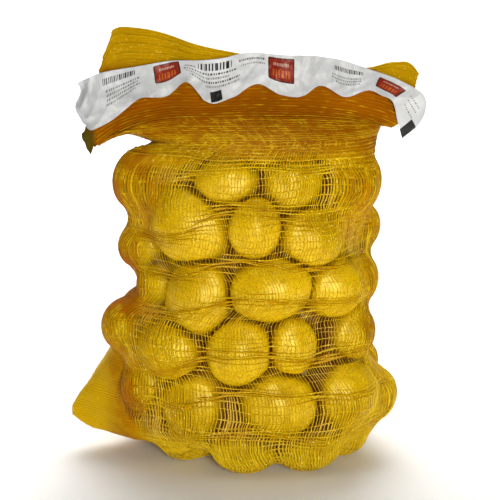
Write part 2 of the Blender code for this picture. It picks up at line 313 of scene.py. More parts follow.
    def front(self) -> list[PotatoPlace]:
        """The potatoes of the listed table, each against the front of the net."""
        made = []
        for row in self.front_potatoes:
            x, z, long_side, short_side = mm(row[:4])
            inset = short_side * self.thickness_ratio * 0.5 + row[5] * MM
            y = -max(float(self.wall_depth(x, z)) - inset, 0.0)
            made.append(self.placed(x, y, z, long_side, short_side, row[4]))
        return made

    def course(self, courses: tuple, side: int, chance: random.Random) -> list[PotatoPlace]:
        """Potatoes in level courses.

        Args:
            courses: each course's height, number, long side and short side.
            side: 1 for the back of the sack and 0 for its core.
            chance: the seeded source of unevenness.

        Returns:
            The potatoes, before they are pushed apart.
        """
        made = []
        for number, row in enumerate(courses):
            count = row[1]
            z, long_side, short_side = mm((row[0], row[2], row[3]))
            middle, half, _ = self.ring(np.maximum(z, self.base_rise))
            shift = self.course_shift if number % 2 else -self.course_shift
            spread = self.course_spread * (self.back_spread if side else self.core_spread)
            for place in range(count):
                level = (place + 0.5 + shift) / count * 2 - 1
                x = middle + level * half * spread
                grow = 1 + chance.uniform(-self.unevenness, self.unevenness)
                up = z + chance.uniform(-self.height_jitter, self.height_jitter)
                up = max(up, short_side * grow / 2 + self.floor_clearance)
                inset = short_side * grow * self.thickness_ratio * 0.5
                y = max(float(self.wall_depth(x, up)) - inset, 0.0) * side
                y += chance.uniform(-self.depth_jitter, self.depth_jitter) * (1 - side)
                turn = chance.uniform(-self.most_turn, self.most_turn)
                made.append(self.placed(x, y, up, long_side * grow, short_side * grow, turn))
        return made

    def pushed_apart(self, potatoes: list[PotatoPlace], give: Rows, spread: Rows) -> list[PotatoPlace]:
        """Moves the potatoes by turns until they hardly cross.

        Args:
            potatoes: the potatoes where their rules put them.
            give: how far each one gives way along each axis.
            spread: the share of the body's width that each one may take.

        Returns:
            The potatoes in their last places.
        """
        middles = np.array([each.middle for each in potatoes])
        halves = np.array([each.half for each in potatoes])
        axes = np.array([each.axes for each in potatoes])
        spans = np.sqrt(((axes * halves[:, :, None]) ** 2).sum(axis=1))
        for _ in range(self.give_turns):
            between = middles[None] - middles[:, None]
            distance = np.linalg.norm(between, axis=-1) + np.eye(len(middles))
            way = between / distance[..., None]
            turned = np.einsum("ikl,ijl->ijk", axes, way)
            straight = 1 / np.sqrt(((turned / halves[:, None]) ** 2).sum(-1) + np.eye(len(middles)))
            support = np.sqrt(((turned * halves[:, None]) ** 2).sum(-1))
            reach = (straight + support) / 2
            crossing = np.maximum(0, reach + reach.T - distance)
            np.fill_diagonal(crossing, 0)
            middles = middles - (way * crossing[..., None]).sum(axis=1) * give * self.give_share
            room = np.maximum(self.wall_depth(middles[:, 0], middles[:, 2]) - spans[:, 1], 0)
            middles[:, 1] = np.clip(middles[:, 1], -room, room)
            lowest = spans[:, 2] + self.floor_clearance
            middles[:, 2] = np.clip(middles[:, 2], lowest, self.highest_top - spans[:, 2])
            across, half, _ = self.ring(np.maximum(middles[:, 2], self.base_rise))
            side = half * spread - spans[:, 0]
            middles[:, 0] = np.clip(middles[:, 0], across - side, across + side)
        return [PotatoPlace(m, h, a) for m, h, a in zip(middles, halves, axes)]

    def potatoes(self) -> list[PotatoPlace]:
        """Every potato in the sack."""
        chance = random.Random(self.seed)
        front = self.front()
        inner = self.course(self.back_courses, 1, chance) + self.course(self.core_courses, 0, chance)
        sides = [Side.FRONT] * len(front) + [Side.INNER] * len(inner)
        give = np.array([side.value[0] for side in sides])
        spread = np.array([side.value[1] for side in sides])
        return self.pushed_apart(front + inner, give, spread)

    @staticmethod
    def clearance(spots: Rows, potato: PotatoPlace) -> Rows:
        """How far each spot is from the potato's skin, below 0 inside it."""
        local = (spots - potato.middle) @ potato.axes.T
        away = np.linalg.norm(local, axis=-1)
        return away * (1 - 1 / np.maximum(np.linalg.norm(local / potato.half, axis=-1), 1e-3))

    def fold(self, x: Rows, z: Rows) -> Rows:
        """How far the neck's folds stand back from its middle plane."""
        total = 0.0
        for wavelength, depth, phase in self.neck_folds:
            total = total + depth * MM * np.sin(2 * math.pi * x / (wavelength * MM) + phase)
        return total * ease(z, self.folds_from, self.folds_full)

    def neck_ring(self, position: float, around: int) -> Rows:
        """One ring of the neck, at a position from 0, above the body, to the last of its rings."""
        last = len(self.neck_rings) - 1
        steps = [(number,) + tuple(row) for number, row in enumerate(self.neck_rings)]
        middle, left, left_z, right, right_z, thick = along(steps, position * MM)
        turns = ring_turns(around)
        across = np.cos(turns)
        x = (right - left) / 2 + (right + left) / 2 * across
        edge = np.where(across < 0, left_z, right_z)
        z = middle + (edge - middle) * np.abs(across) ** self.edge_bend
        z = z + (along(self.rim, x)[..., 0] - z) * ease(position, last - self.rim_reach, last)
        y = thick * np.sin(turns) + self.fold(x, z)
        return np.stack((x, y, z), -1)

    def neck_front(self, x: Rows, z: Rows) -> Rows:
        """The y of the neck's front at this place, or where it would be past the neck's edges."""
        steps = [(row[0], row[5]) for row in self.neck_rings]
        return self.fold(x, z) - along(steps, z)[..., 0]


# ---- Lie of the net ----


@dataclass
class NetSheet:
    """The net's surface as a fine grid: rows from under the sack to its rim, columns round it."""

    form: SackForm
    potatoes: list[PotatoPlace]
    columns: int = 368
    row_step: float = 2.6 * MM
    # rows under the sack for each row of its rise, and rows of the neck
    under_stretch: float = 1.35
    neck_rows: int = 44
    # where rows lie between the body and the neck
    bridge_shares: tuple = (0.2, 0.4, 0.6, 0.8)
    share_blur: int = 3
    arc_blur: int = 9
    arc_marks: int = 100
    lowest: float = 0.45 * MM
    held_from: float = 255 * MM
    no_floor: float = 99.0
    points: Rows = field(init=False)
    normals: Rows = field(init=False)
    share: Rows = field(init=False)
    heights: Rows = field(init=False)
    arcs: Rows = field(init=False)

    def __post_init__(self) -> None:
        """Settles the net over the potatoes and refines its grid."""
        form = self.form
        coarse_start, coarse_reach, coarse_row = self.rays(form.around, form.body_rows, form.under_rows)
        least, to_floor, floor_rows = self.limits(coarse_start, coarse_reach, form.under_rows)
        share = np.minimum(self.settled(np.minimum(least, to_floor), floor_rows), to_floor)
        top = form.body_rings[-1][0] * MM
        body_rows = int((top - form.base_rise) / self.row_step)
        under_rows = int(self.under_stretch * form.base_rise / self.row_step)
        start, reach, row = self.rays(self.columns, body_rows, under_rows)
        fine_least, fine_floor, _ = self.limits(start, reach, under_rows)
        coarse_at = np.interp(row, coarse_row, np.arange(len(coarse_row)))
        column = np.arange(self.columns) * form.around / self.columns
        fine = grid_at(share, *np.meshgrid(coarse_at, column, indexing="ij"))
        for _ in range(self.share_blur):
            fine = (2 * fine + np.roll(fine, 1, 1) + np.roll(fine, -1, 1)) / 4
        fine = np.minimum(np.maximum(fine, np.minimum(fine_least, fine_floor)), fine_floor)
        self.share, self.heights = fine, row
        body = start + reach * fine[..., None]
        last, count = len(form.neck_rings) - 1, self.neck_rows
        neck = [form.neck_ring(last * number / count, self.columns) for number in range(count + 1)]
        bridge = [body[-1] * (1 - part) + neck[0] * part for part in self.bridge_shares]
        self.points = self.above_potatoes(np.concatenate((body, bridge, neck)))
        self.points[..., 2] = np.maximum(self.points[..., 2], self.lowest)
        across = np.roll(self.points, -1, 1) - np.roll(self.points, 1, 1)
        upward = np.gradient(self.points, axis=0)
        normals = np.cross(across, upward)
        self.normals = normals / (np.linalg.norm(normals, axis=-1, keepdims=True) + 1e-12)
        self.arcs = self.columns_by_arc()

    def rays(self, around: int, body_rows: int, under_rows: int) -> tuple[Rows, Rows, Rows]:
        """Where each of the body's points starts from and the way it lies.

        Args:
            around: the number of points in a row.
            body_rows: the number of rows up the body.
            under_rows: the number of rows under it.

        Returns:
            The starts, the reaches, and each row's place: its height above base_rise, or below 0 its dip.
        """
        turns = ring_turns(around)
        starts, reaches, places = [], [], []
        rise = self.form.base_rise
        middle, half, depth = self.form.ring(rise)
        for row in range(1, under_rows + 1):
            dip = math.pi / 2 * (1 - row / (under_rows + 1))
            flat, down = math.cos(dip), -math.sin(dip)
            starts.append(np.tile((middle, 0, rise), (around, 1)))
            wide, deep = half * flat * np.cos(turns), depth * flat * np.sin(turns)
            reaches.append(np.stack((wide, deep, np.full(around, rise * down)), -1))
            places.append(-dip)
        top = self.form.body_rings[-1][0] * MM
        for row in range(body_rows + 1):
            height = rise + (top - rise) * row / body_rows
            middle, half, depth = self.form.ring(height)
            starts.append(np.tile((middle, 0, height), (around, 1)))
            reaches.append(np.stack((half * np.cos(turns), depth * np.sin(turns), np.zeros(around)), -1))
            places.append(height - rise)
        return np.array(starts), np.array(reaches), np.array(places)

    def limits(self, start: Rows, reach: Rows, under_rows: int) -> tuple[Rows, Rows, int]:
        """How much of each reach the potatoes hold out and the floor leaves.

        Args:
            start: where each ray starts.
            reach: how far it goes, and which way.
            under_rows: the number of rows under the sack.

        Returns:
            The least shares, the most shares, and the number of rows flat on the floor.
        """
        farthest = np.zeros(start.shape[:-1])
        for potato in self.potatoes:
            grown = potato.half + self.form.net_over_potato
            from_middle = (start - potato.middle) @ potato.axes.T / grown
            heading = reach @ potato.axes.T / grown
            a = (heading * heading).sum(-1)
            b = (from_middle * heading).sum(-1)
            inside = b * b - a * ((from_middle * from_middle).sum(-1) - 1)
            leave = (-b + np.sqrt(np.maximum(inside, 0))) / a
            farthest = np.where((inside > 0) & (leave > farthest), leave, farthest)
        rise = self.form.base_rise
        to_floor = np.where(reach[..., 2] < 0, rise / np.maximum(-reach[..., 2], 1e-9), self.no_floor)
        level = np.sqrt(1 - (reach[:under_rows, 0, 2] / rise) ** 2)
        floor_rows = int((level < self.form.flat_spot).sum())
        farthest[:floor_rows] = to_floor[:floor_rows]
        return farthest, to_floor, floor_rows

    def settled(self, least: Rows, floor_rows: int) -> Rows:
        """The net at rest on the potatoes, drawn in between them."""
        share = np.maximum(least, self.form.net_first_share)
        for _ in range(self.form.net_settles):
            sideways = (np.roll(share, 1, 1) + np.roll(share, -1, 1)) / 2
            up = np.vstack((share[1:], np.ones((1, share.shape[1]))))
            down = np.vstack((share[:1], share[:-1]))
            share = np.maximum(least, 0.5 * sideways + 0.25 * (up + down) - self.form.net_pull)
            share[:floor_rows] = least[:floor_rows]
        return share

    def above_potatoes(self, points: Rows) -> Rows:
        """The points, with any that a potato would hold under its skin moved out onto it."""
        for potato in self.potatoes:
            grown = potato.half + self.form.net_over_potato
            local = (points - potato.middle) @ potato.axes.T / grown
            size = np.linalg.norm(local, axis=-1, keepdims=True)
            held = (size < 1) & (points[..., 2:] > self.held_from)
            out = local / np.maximum(size, 1e-6)
            points = np.where(held, potato.middle + (out * grown) @ potato.axes, points)
        return points

    def columns_by_arc(self) -> Rows:
        """For each row, the column at each of many equal steps of its back and its front."""
        steps = np.linalg.norm(np.roll(self.points, -1, 1) - self.points, axis=-1)
        half = self.columns // 2
        blurred = steps.copy()
        for _ in range(self.arc_blur):
            padded = np.vstack((blurred[:1], blurred, blurred[-1:]))
            blurred = (padded[:-2] + 2 * padded[1:-1] + padded[2:]) / 4
        marks, places = [], np.arange(self.arc_marks) / self.arc_marks
        for row in blurred:
            found = []
            for first in (0, half):
                walked = np.concatenate(([0], np.cumsum(row[first : first + half])))
                found.append(first + np.interp(places * walked[-1], walked, np.arange(half + 1)))
            marks.append(np.concatenate(found))
        return np.array(marks)

    def column(self, row: Rows, turn: Rows) -> Rows:
        """The column at a turn from 0, the right edge, through 0.5, the left edge, to 1, along this row."""
        marks = self.arcs.shape[1]
        shift = turn * marks
        low = np.floor(shift).astype(int)
        part = shift - low
        wraps = low // marks
        line = np.clip(np.round(row).astype(int), 0, len(self.arcs) - 1)
        a = self.arcs[line, low % marks]
        b = self.arcs[line, (low + 1) % marks] + np.where(low % marks == marks - 1, self.columns, 0)
        return a + (b - a) * part + wraps * self.columns

    def at(self, row: Rows, turn: Rows) -> tuple[Rows, Rows]:
        """The point and the outward normal at this row and turn."""
        column = self.column(row, turn)
        return grid_at(self.points, row, column), grid_at(self.normals, row, column)

    def buried(self, places: Rows) -> Rows:
        """How far inside the net each place lies, in metres."""
        rise = self.form.base_rise
        middle, half, depth = self.form.ring(np.maximum(places[:, 2], rise))
        dx, dy = (places[:, 0] - middle) / half, places[:, 1] / depth
        dz = np.minimum(places[:, 2] - rise, 0) / rise
        ratio = np.sqrt(dx * dx + dy * dy + dz * dz)
        turn = np.arctan2(dy, dx) / (2 * math.pi) * self.columns
        dip = -np.arctan2(-dz, np.sqrt(dx * dx + dy * dy) + 1e-9)
        place = np.where(places[:, 2] < rise, dip, places[:, 2] - rise)
        row = np.interp(place, self.heights, np.arange(len(self.heights)))
        reach = np.sqrt((half * dx) ** 2 + (depth * dy) ** 2 + (rise * dz) ** 2) / np.maximum(ratio, 1e-6)
        return np.maximum(grid_at(self.share, row, turn) - ratio, 0) * reach


# ---- Meshes ----


def deselect() -> None:
    """Leaves nothing selected."""
    bpy.ops.object.select_all(action="DESELECT")


def shown(name: str, mesh: bpy.types.Mesh, material: Material) -> Piece:
    """An object in the scene with this mesh, smooth, in this material."""
    mesh.shade_smooth()
    mesh.materials.append(material)
    piece = bpy.data.objects.new(name, mesh)
    bpy.context.scene.collection.objects.link(piece)
    return piece


def mesh_piece(name: str, points: Rows, faces: list[Rows], material: Material) -> Piece:
    """An object from points and faces.

    Args:
        name: the object's name.
        points: its points.
        faces: arrays of faces as numbers of points, each array with one number of corners.
        material: its material.

    Returns:
        The object.
    """
    mesh = bpy.data.meshes.new(name)
    corners = np.concatenate([each.ravel() for each in faces])
    sizes = np.concatenate([np.full(len(each), each.shape[1]) for each in faces])
    mesh.vertices.add(len(points))
    mesh.vertices.foreach_set("co", points.astype(np.float32).ravel())
    mesh.loops.add(len(corners))
    mesh.loops.foreach_set("vertex_index", corners.astype(np.int32))
    mesh.polygons.add(len(sizes))
    mesh.polygons.foreach_set("loop_start", (np.cumsum(sizes) - sizes).astype(np.int32))
    mesh.update(calc_edges=True)
    mesh.validate()
    return shown(name, mesh, material)


def closed_piece(name: str, rings: Rows, material: Material) -> Piece:
    """A closed object through rings of points, with a fan at each end and its faces outwards.

    Args:
        name: the object's name.
        rings: points by ring and place round it.
        material: its material.

    Returns:
        The object.
    """
    rows, around = rings.shape[:2]
    index = np.arange(rows * around).reshape(rows, around)
    after = np.roll(index, -1, 1)
    middle = np.full(around, rows * around)
    walls = np.stack((index[:-1], index[1:], after[1:], after[:-1]), -1).reshape(-1, 4)
    first = np.stack((index[0], after[0], middle), -1)
    last = np.stack((after[-1], index[-1], middle + 1), -1)
    points = np.concatenate((rings.reshape(-1, 3), rings[[0, -1]].mean(1)))
    piece = mesh_piece(name, points, [walls, first, last], material)
    shape = bmesh.new()
    shape.from_mesh(piece.data)
    bmesh.ops.recalc_face_normals(shape, faces=shape.faces)
    shape.to_mesh(piece.data)
    shape.free()
    return piece


def set_values(piece: Piece, name: str, values: Rows) -> None:
    """Stores a number for each of the piece's points under this name."""
    attribute = piece.data.attributes.new(name, "FLOAT", "POINT")
    attribute.data.foreach_set("value", values.astype(np.float32))


def evenly(piece: Piece, slack: float, tone: float) -> Piece:
    """The piece, with the same slack and the same tone at each of its points."""
    for name, value in (("slack", slack), ("tone", tone)):
        set_values(piece, name, np.full(len(piece.data.vertices), value))
    return piece


def seat(piece: Piece, slot: Slot, *nodes: str) -> None:
    """Puts the piece on the sack and hides the solids that it stands for."""
    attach(piece, BODY)
    if nodes:
        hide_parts(*nodes)
    log.info("%s: %d faces", piece.name, len(piece.data.polygons))


@dataclass(frozen=True)
class Thread:
    """The section of a thread or tape: half its width and thickness, and its number of sides."""

    half_width: float
    half_thickness: float
    sides: int
    # how far the corners stand out, so that a few sides look as wide as a round thread
    corner_reach: float = 1.15


def threads(
    paths: Rows, normals: Rows, widths: Rows, thread: Thread, closed: bool
) -> tuple[Rows, list[Rows]]:
    """Threads along paths.

    Args:
        paths: points by thread and place along it.
        normals: the side of each point that faces out of the sack.
        widths: a factor on the width at each point.
        thread: the section.
        closed: whether each thread runs into its own start.

    Returns:
        The points, and the arrays of side faces and of end faces.
    """
    count, length = paths.shape[:2]
    if closed:
        ahead = np.roll(paths, -1, 1) - np.roll(paths, 1, 1)
    else:
        ahead = np.gradient(paths, axis=1)
    ahead = ahead / (np.linalg.norm(ahead, axis=-1, keepdims=True) + 1e-12)
    side = np.cross(ahead, normals)
    side = side / (np.linalg.norm(side, axis=-1, keepdims=True) + 1e-12)
    out = np.cross(side, ahead)
    rings = []
    for corner in range(thread.sides):
        turn = 2 * math.pi * (corner + 0.5) / thread.sides + (math.pi / 6 if thread.sides == 3 else 0)
        wide = side * (math.cos(turn) * thread.half_width * thread.corner_reach) * widths[..., None]
        thick = out * (math.sin(turn) * thread.half_thickness * thread.corner_reach)
        rings.append(paths + wide + thick)
    points = np.stack(rings, axis=2)
    index = np.arange(count * length * thread.sides).reshape(count, length, thread.sides)
    if closed:
        here, there = index, np.roll(index, -1, 1)
    else:
        here, there = index[:, :-1], index[:, 1:]
    turned = np.roll(here, -1, 2)
    turned_there = np.roll(there, -1, 2)
    faces = [np.stack((here, there, turned_there, turned), -1).reshape(-1, 4)]
    if not closed:
        faces += [index[:, 0], index[:, -1, ::-1]]
    return points.reshape(-1, 3), faces


# ---- Finishes ----


@dataclass(frozen=True)
class Fade:
    """A smooth change: where it starts and ends, and what it goes from and to, held past both."""

    start: float
    end: float
    before: float = 0.0
    after: float = 1.0


class Shader:
    """A material's or a group's node tree, with short calls to add and join nodes."""

    def __init__(self, tree: NodeTree) -> None:
        """Keeps the tree."""
        self.tree = tree

    def add(self, kind: str, **settings: object) -> bpy.types.Node:
        """A new node with these settings."""
        node = self.tree.nodes.new(kind)
        for name, value in settings.items():
            setattr(node, name, value)
        return node

    def feed(self, target: Socket, value: object) -> None:
        """Joins a socket to the target, or sets the target to a number or a colour."""
        if isinstance(value, Socket):
            self.tree.links.new(value, target)
        elif isinstance(value, tuple):
            target.default_value = (*value, 1)
        else:
            target.default_value = value

    def sum(self, operation: str, *values: object) -> Socket:
        """A Math node over sockets or numbers, and its result."""
        node = self.add("ShaderNodeMath", operation=operation)
        for socket, value in zip(node.inputs, values):
            self.feed(socket, value)
        return node.outputs[0]

    def product(self, first: object, *others: object) -> Socket:
        """Several sockets or numbers multiplied together."""
        for other in others:
            first = self.sum("MULTIPLY", first, other)
        return first

    def fade(self, value: Socket, fade: Fade) -> Socket:
        """The fade at this value."""
        node = self.add("ShaderNodeMapRange", interpolation_type="SMOOTHSTEP")
        settings = (value, fade.start, fade.end, fade.before, fade.after)
        for label, setting in zip(("Value", "From Min", "From Max", "To Min", "To Max"), settings):
            self.feed(node.inputs[label], setting)
        return node.outputs["Result"]

    def blend(self, mask: object, first: object, second: object) -> Socket:
        """A colour that goes from the first to the second by the mask."""
        node = self.add("ShaderNodeMix", data_type="RGBA")
        for place, value in zip((0, 6, 7), (mask, first, second)):
            self.feed(node.inputs[place], value)
        return node.outputs[2]

    def attribute(self, name: str) -> Socket:
        """The number that a piece stores under this name."""
        return self.add("ShaderNodeAttribute", attribute_name=name).outputs["Fac"]

    def place(self) -> Socket:
        """The place on the piece, in its own frame."""
        return self.add("ShaderNodeTexCoord").outputs["Object"]

    def parts(self, vector: Socket) -> tuple[Socket, Socket, Socket]:
        """The x, y and z of a vector."""
        node = self.add("ShaderNodeSeparateXYZ")
        self.feed(node.inputs["Vector"], vector)
        return node.outputs["X"], node.outputs["Y"], node.outputs["Z"]

    def group(self, tree: NodeTree, **values: object) -> bpy.types.Node:
        """A group placed here, with its inputs joined or set. A name's _ stands for a blank."""
        node = self.add("ShaderNodeGroup", node_tree=tree)
        for label, value in values.items():
            self.feed(node.inputs[label.replace("_", " ")], value)
        return node

    def relief(self, bsdf: bpy.types.Node, height: Socket, strength: float, depth: float) -> None:
        """Raises and lowers the surface by the height, down to this depth."""
        bump = self.add("ShaderNodeBump")
        bump.inputs["Strength"].default_value = strength
        bump.inputs["Distance"].default_value = depth
        self.feed(bump.inputs["Height"], height)
        self.feed(bsdf.inputs["Normal"], bump.outputs["Normal"])


class Groups:
    """Shader groups that several finishes use, each built once."""

    made: dict[str, NodeTree] = {}
    mottle_gain: float = 6.0
    block_edge: Fade = Fade(-0.12, 0.12)

    @classmethod
    def tree(cls, name: str, inputs: dict[str, float], outputs: tuple[str, ...]) -> Shader:
        """A new group with number sockets in and out."""
        tree = bpy.data.node_groups.new(name, "ShaderNodeTree")
        for label, value in inputs.items():
            socket = tree.interface.new_socket(label, in_out="INPUT", socket_type="NodeSocketFloat")
            socket.default_value = value
        for label in outputs:
            tree.interface.new_socket(label, in_out="OUTPUT", socket_type="NodeSocketFloat")
        cls.made[name] = tree
        return Shader(tree)

    @classmethod
    def mottle(cls) -> NodeTree:
        """Uneven patches over a surface, as a mask and a height."""
        if "mottle" in cls.made:
            return cls.made["mottle"]
        shader = cls.tree("mottle", {"Scale": 30.0, "Detail": 3.0, "Contrast": 0.5}, ("Mask", "Height"))
        given, out = shader.add("NodeGroupInput").outputs, shader.add("NodeGroupOutput").inputs
        noise = shader.add("ShaderNodeTexNoise")
        shader.feed(noise.inputs["Vector"], shader.place())
        for label in ("Scale", "Detail"):
            shader.feed(noise.inputs[label], given[label])
        gain = shader.sum("MULTIPLY_ADD", given["Contrast"], cls.mottle_gain, 1.0)
        spread = shader.product(shader.sum("SUBTRACT", noise.outputs["Fac"], 0.5), gain)
        mask = shader.add("ShaderNodeClamp")
        shader.feed(mask.inputs["Value"], shader.sum("ADD", spread, 0.5))
        shader.feed(out["Mask"], mask.outputs[0])
        shader.feed(out["Height"], noise.outputs["Fac"])
        return shader.tree

    @classmethod
    def block(cls) -> NodeTree:
        """A block with round corners on a flat strip, placed and sized in millimetres, as a mask."""
        if "print_block" in cls.made:
            return cls.made["print_block"]
        sizes = {"U": 0.0, "V": 0.0, "Centre U": 0.0, "Centre V": 0.0, "Half Width": 5.0, "Half Height": 5.0}
        shader = cls.tree("print_block", {**sizes, "Corner": 1.0, "Turn": 0.0}, ("Mask", "Across"))
        given, out = shader.add("NodeGroupInput").outputs, shader.add("NodeGroupOutput").inputs
        du = shader.sum("SUBTRACT", given["U"], given["Centre U"])
        dv = shader.sum("SUBTRACT", given["V"], given["Centre V"])
        cosine, sine = shader.sum("COSINE", given["Turn"]), shader.sum("SINE", given["Turn"])
        across = shader.sum("ADD", shader.product(du, cosine), shader.product(dv, sine))
        up = shader.sum("SUBTRACT", shader.product(dv, cosine), shader.product(du, sine))
        squares = []
        for offset, half in ((across, "Half Width"), (up, "Half Height")):
            inner = shader.sum("SUBTRACT", given[half], given["Corner"])
            past = shader.sum("SUBTRACT", shader.sum("ABSOLUTE", offset), inner)
            past = shader.sum("MAXIMUM", past, 0.0)
            squares.append(shader.product(past, past))
        away = shader.sum("SQRT", shader.sum("ADD", *squares))
        edge = shader.sum("SUBTRACT", given["Corner"], away)
        shader.feed(out["Mask"], shader.fade(edge, cls.block_edge))
        shader.feed(out["Across"], across)
        return shader.tree


def new_material(
    name: str, roughness: float, gloss: float, glint: Colour = (1, 1, 1)
) -> tuple[Material, Shader, bpy.types.Node]:
    """A material, its shader and its Principled node."""
    material = bpy.data.materials.new(name)
    material.use_nodes = True
    bsdf = material.node_tree.nodes["Principled BSDF"]
    bsdf.inputs["Roughness"].default_value = roughness
    bsdf.inputs["Specular IOR Level"].default_value = gloss
    bsdf.inputs["Specular Tint"].default_value = (*glint, 1)
    return material, Shader(material.node_tree), bsdf


@dataclass(frozen=True)
class SkinFinish:
    """Washed yellow potato skin, with patches and specks, painted shade that darkens it towards its rims and
    where it lies deep in the sack, and a faint painted glow in the deepest gaps.
    """

    bright: Colour = (0.92, 0.635, 0.002)
    dull: Colour = (0.78, 0.50, 0.001)
    speck: Colour = (0.36, 0.18, 0.002)
    # painted shade: rim and deep darken the skin the farther the net stands off it, towards each potato's
    # edge and deep in the sack
    rim: Colour = (0.44, 0.23, 0.001)
    deep: Colour = (0.13, 0.038, 0.001)
    # painted light: a faint emission that lifts the deepest gaps to red-brown
    painted_gap_glow: Colour = (0.036, 0.012, 0.001)
    glint: Colour = (1.0, 0.93, 0.34)
    roughness: float = 0.38
    gloss: float = 1.0
    patch_share: float = 0.55
    tone_share: float = 0.45
    speck_edge: Fade = Fade(0.80, 1.0, 0.0, 0.4)
    rim_shade_depth: Fade = Fade(1.2 * MM, 10 * MM)
    deep_shade_depth: Fade = Fade(5 * MM, 18 * MM)
    relief: float = 0.5
    relief_depth: float = 1.4 * MM
    speck_relief: float = 0.15

    def material(self) -> Material:
        """The finish as a material."""
        material, shader, bsdf = new_material("potato_skin", self.roughness, self.gloss, self.glint)
        patches = shader.group(Groups.mottle(), Scale=46.0, Detail=6.0, Contrast=0.35).outputs
        specks = shader.group(Groups.mottle(), Scale=620.0, Detail=1.0, Contrast=1.6).outputs
        tone, buried = shader.attribute("tone"), shader.attribute("buried")
        mask = shader.product(patches["Mask"], self.patch_share)
        mask = shader.sum("ADD", mask, shader.product(tone, self.tone_share))
        colour = shader.blend(mask, self.bright, self.dull)
        colour = shader.blend(shader.fade(specks["Mask"], self.speck_edge), colour, self.speck)
        # painted shade towards the rims and deep in the sack, and a painted glow in the deepest gaps
        colour = shader.blend(shader.fade(buried, self.rim_shade_depth), colour, self.rim)
        depth = shader.fade(buried, self.deep_shade_depth)
        shader.feed(bsdf.inputs["Base Color"], shader.blend(depth, colour, self.deep))
        shader.feed(bsdf.inputs["Emission Color"], shader.blend(depth, (0.0, 0.0, 0.0), self.painted_gap_glow))
        bsdf.inputs["Emission Strength"].default_value = 1.0
        height = shader.sum("ADD", patches["Height"], shader.product(specks["Height"], self.speck_relief))
        shader.relief(bsdf, height, self.relief, self.relief_depth)
        return material


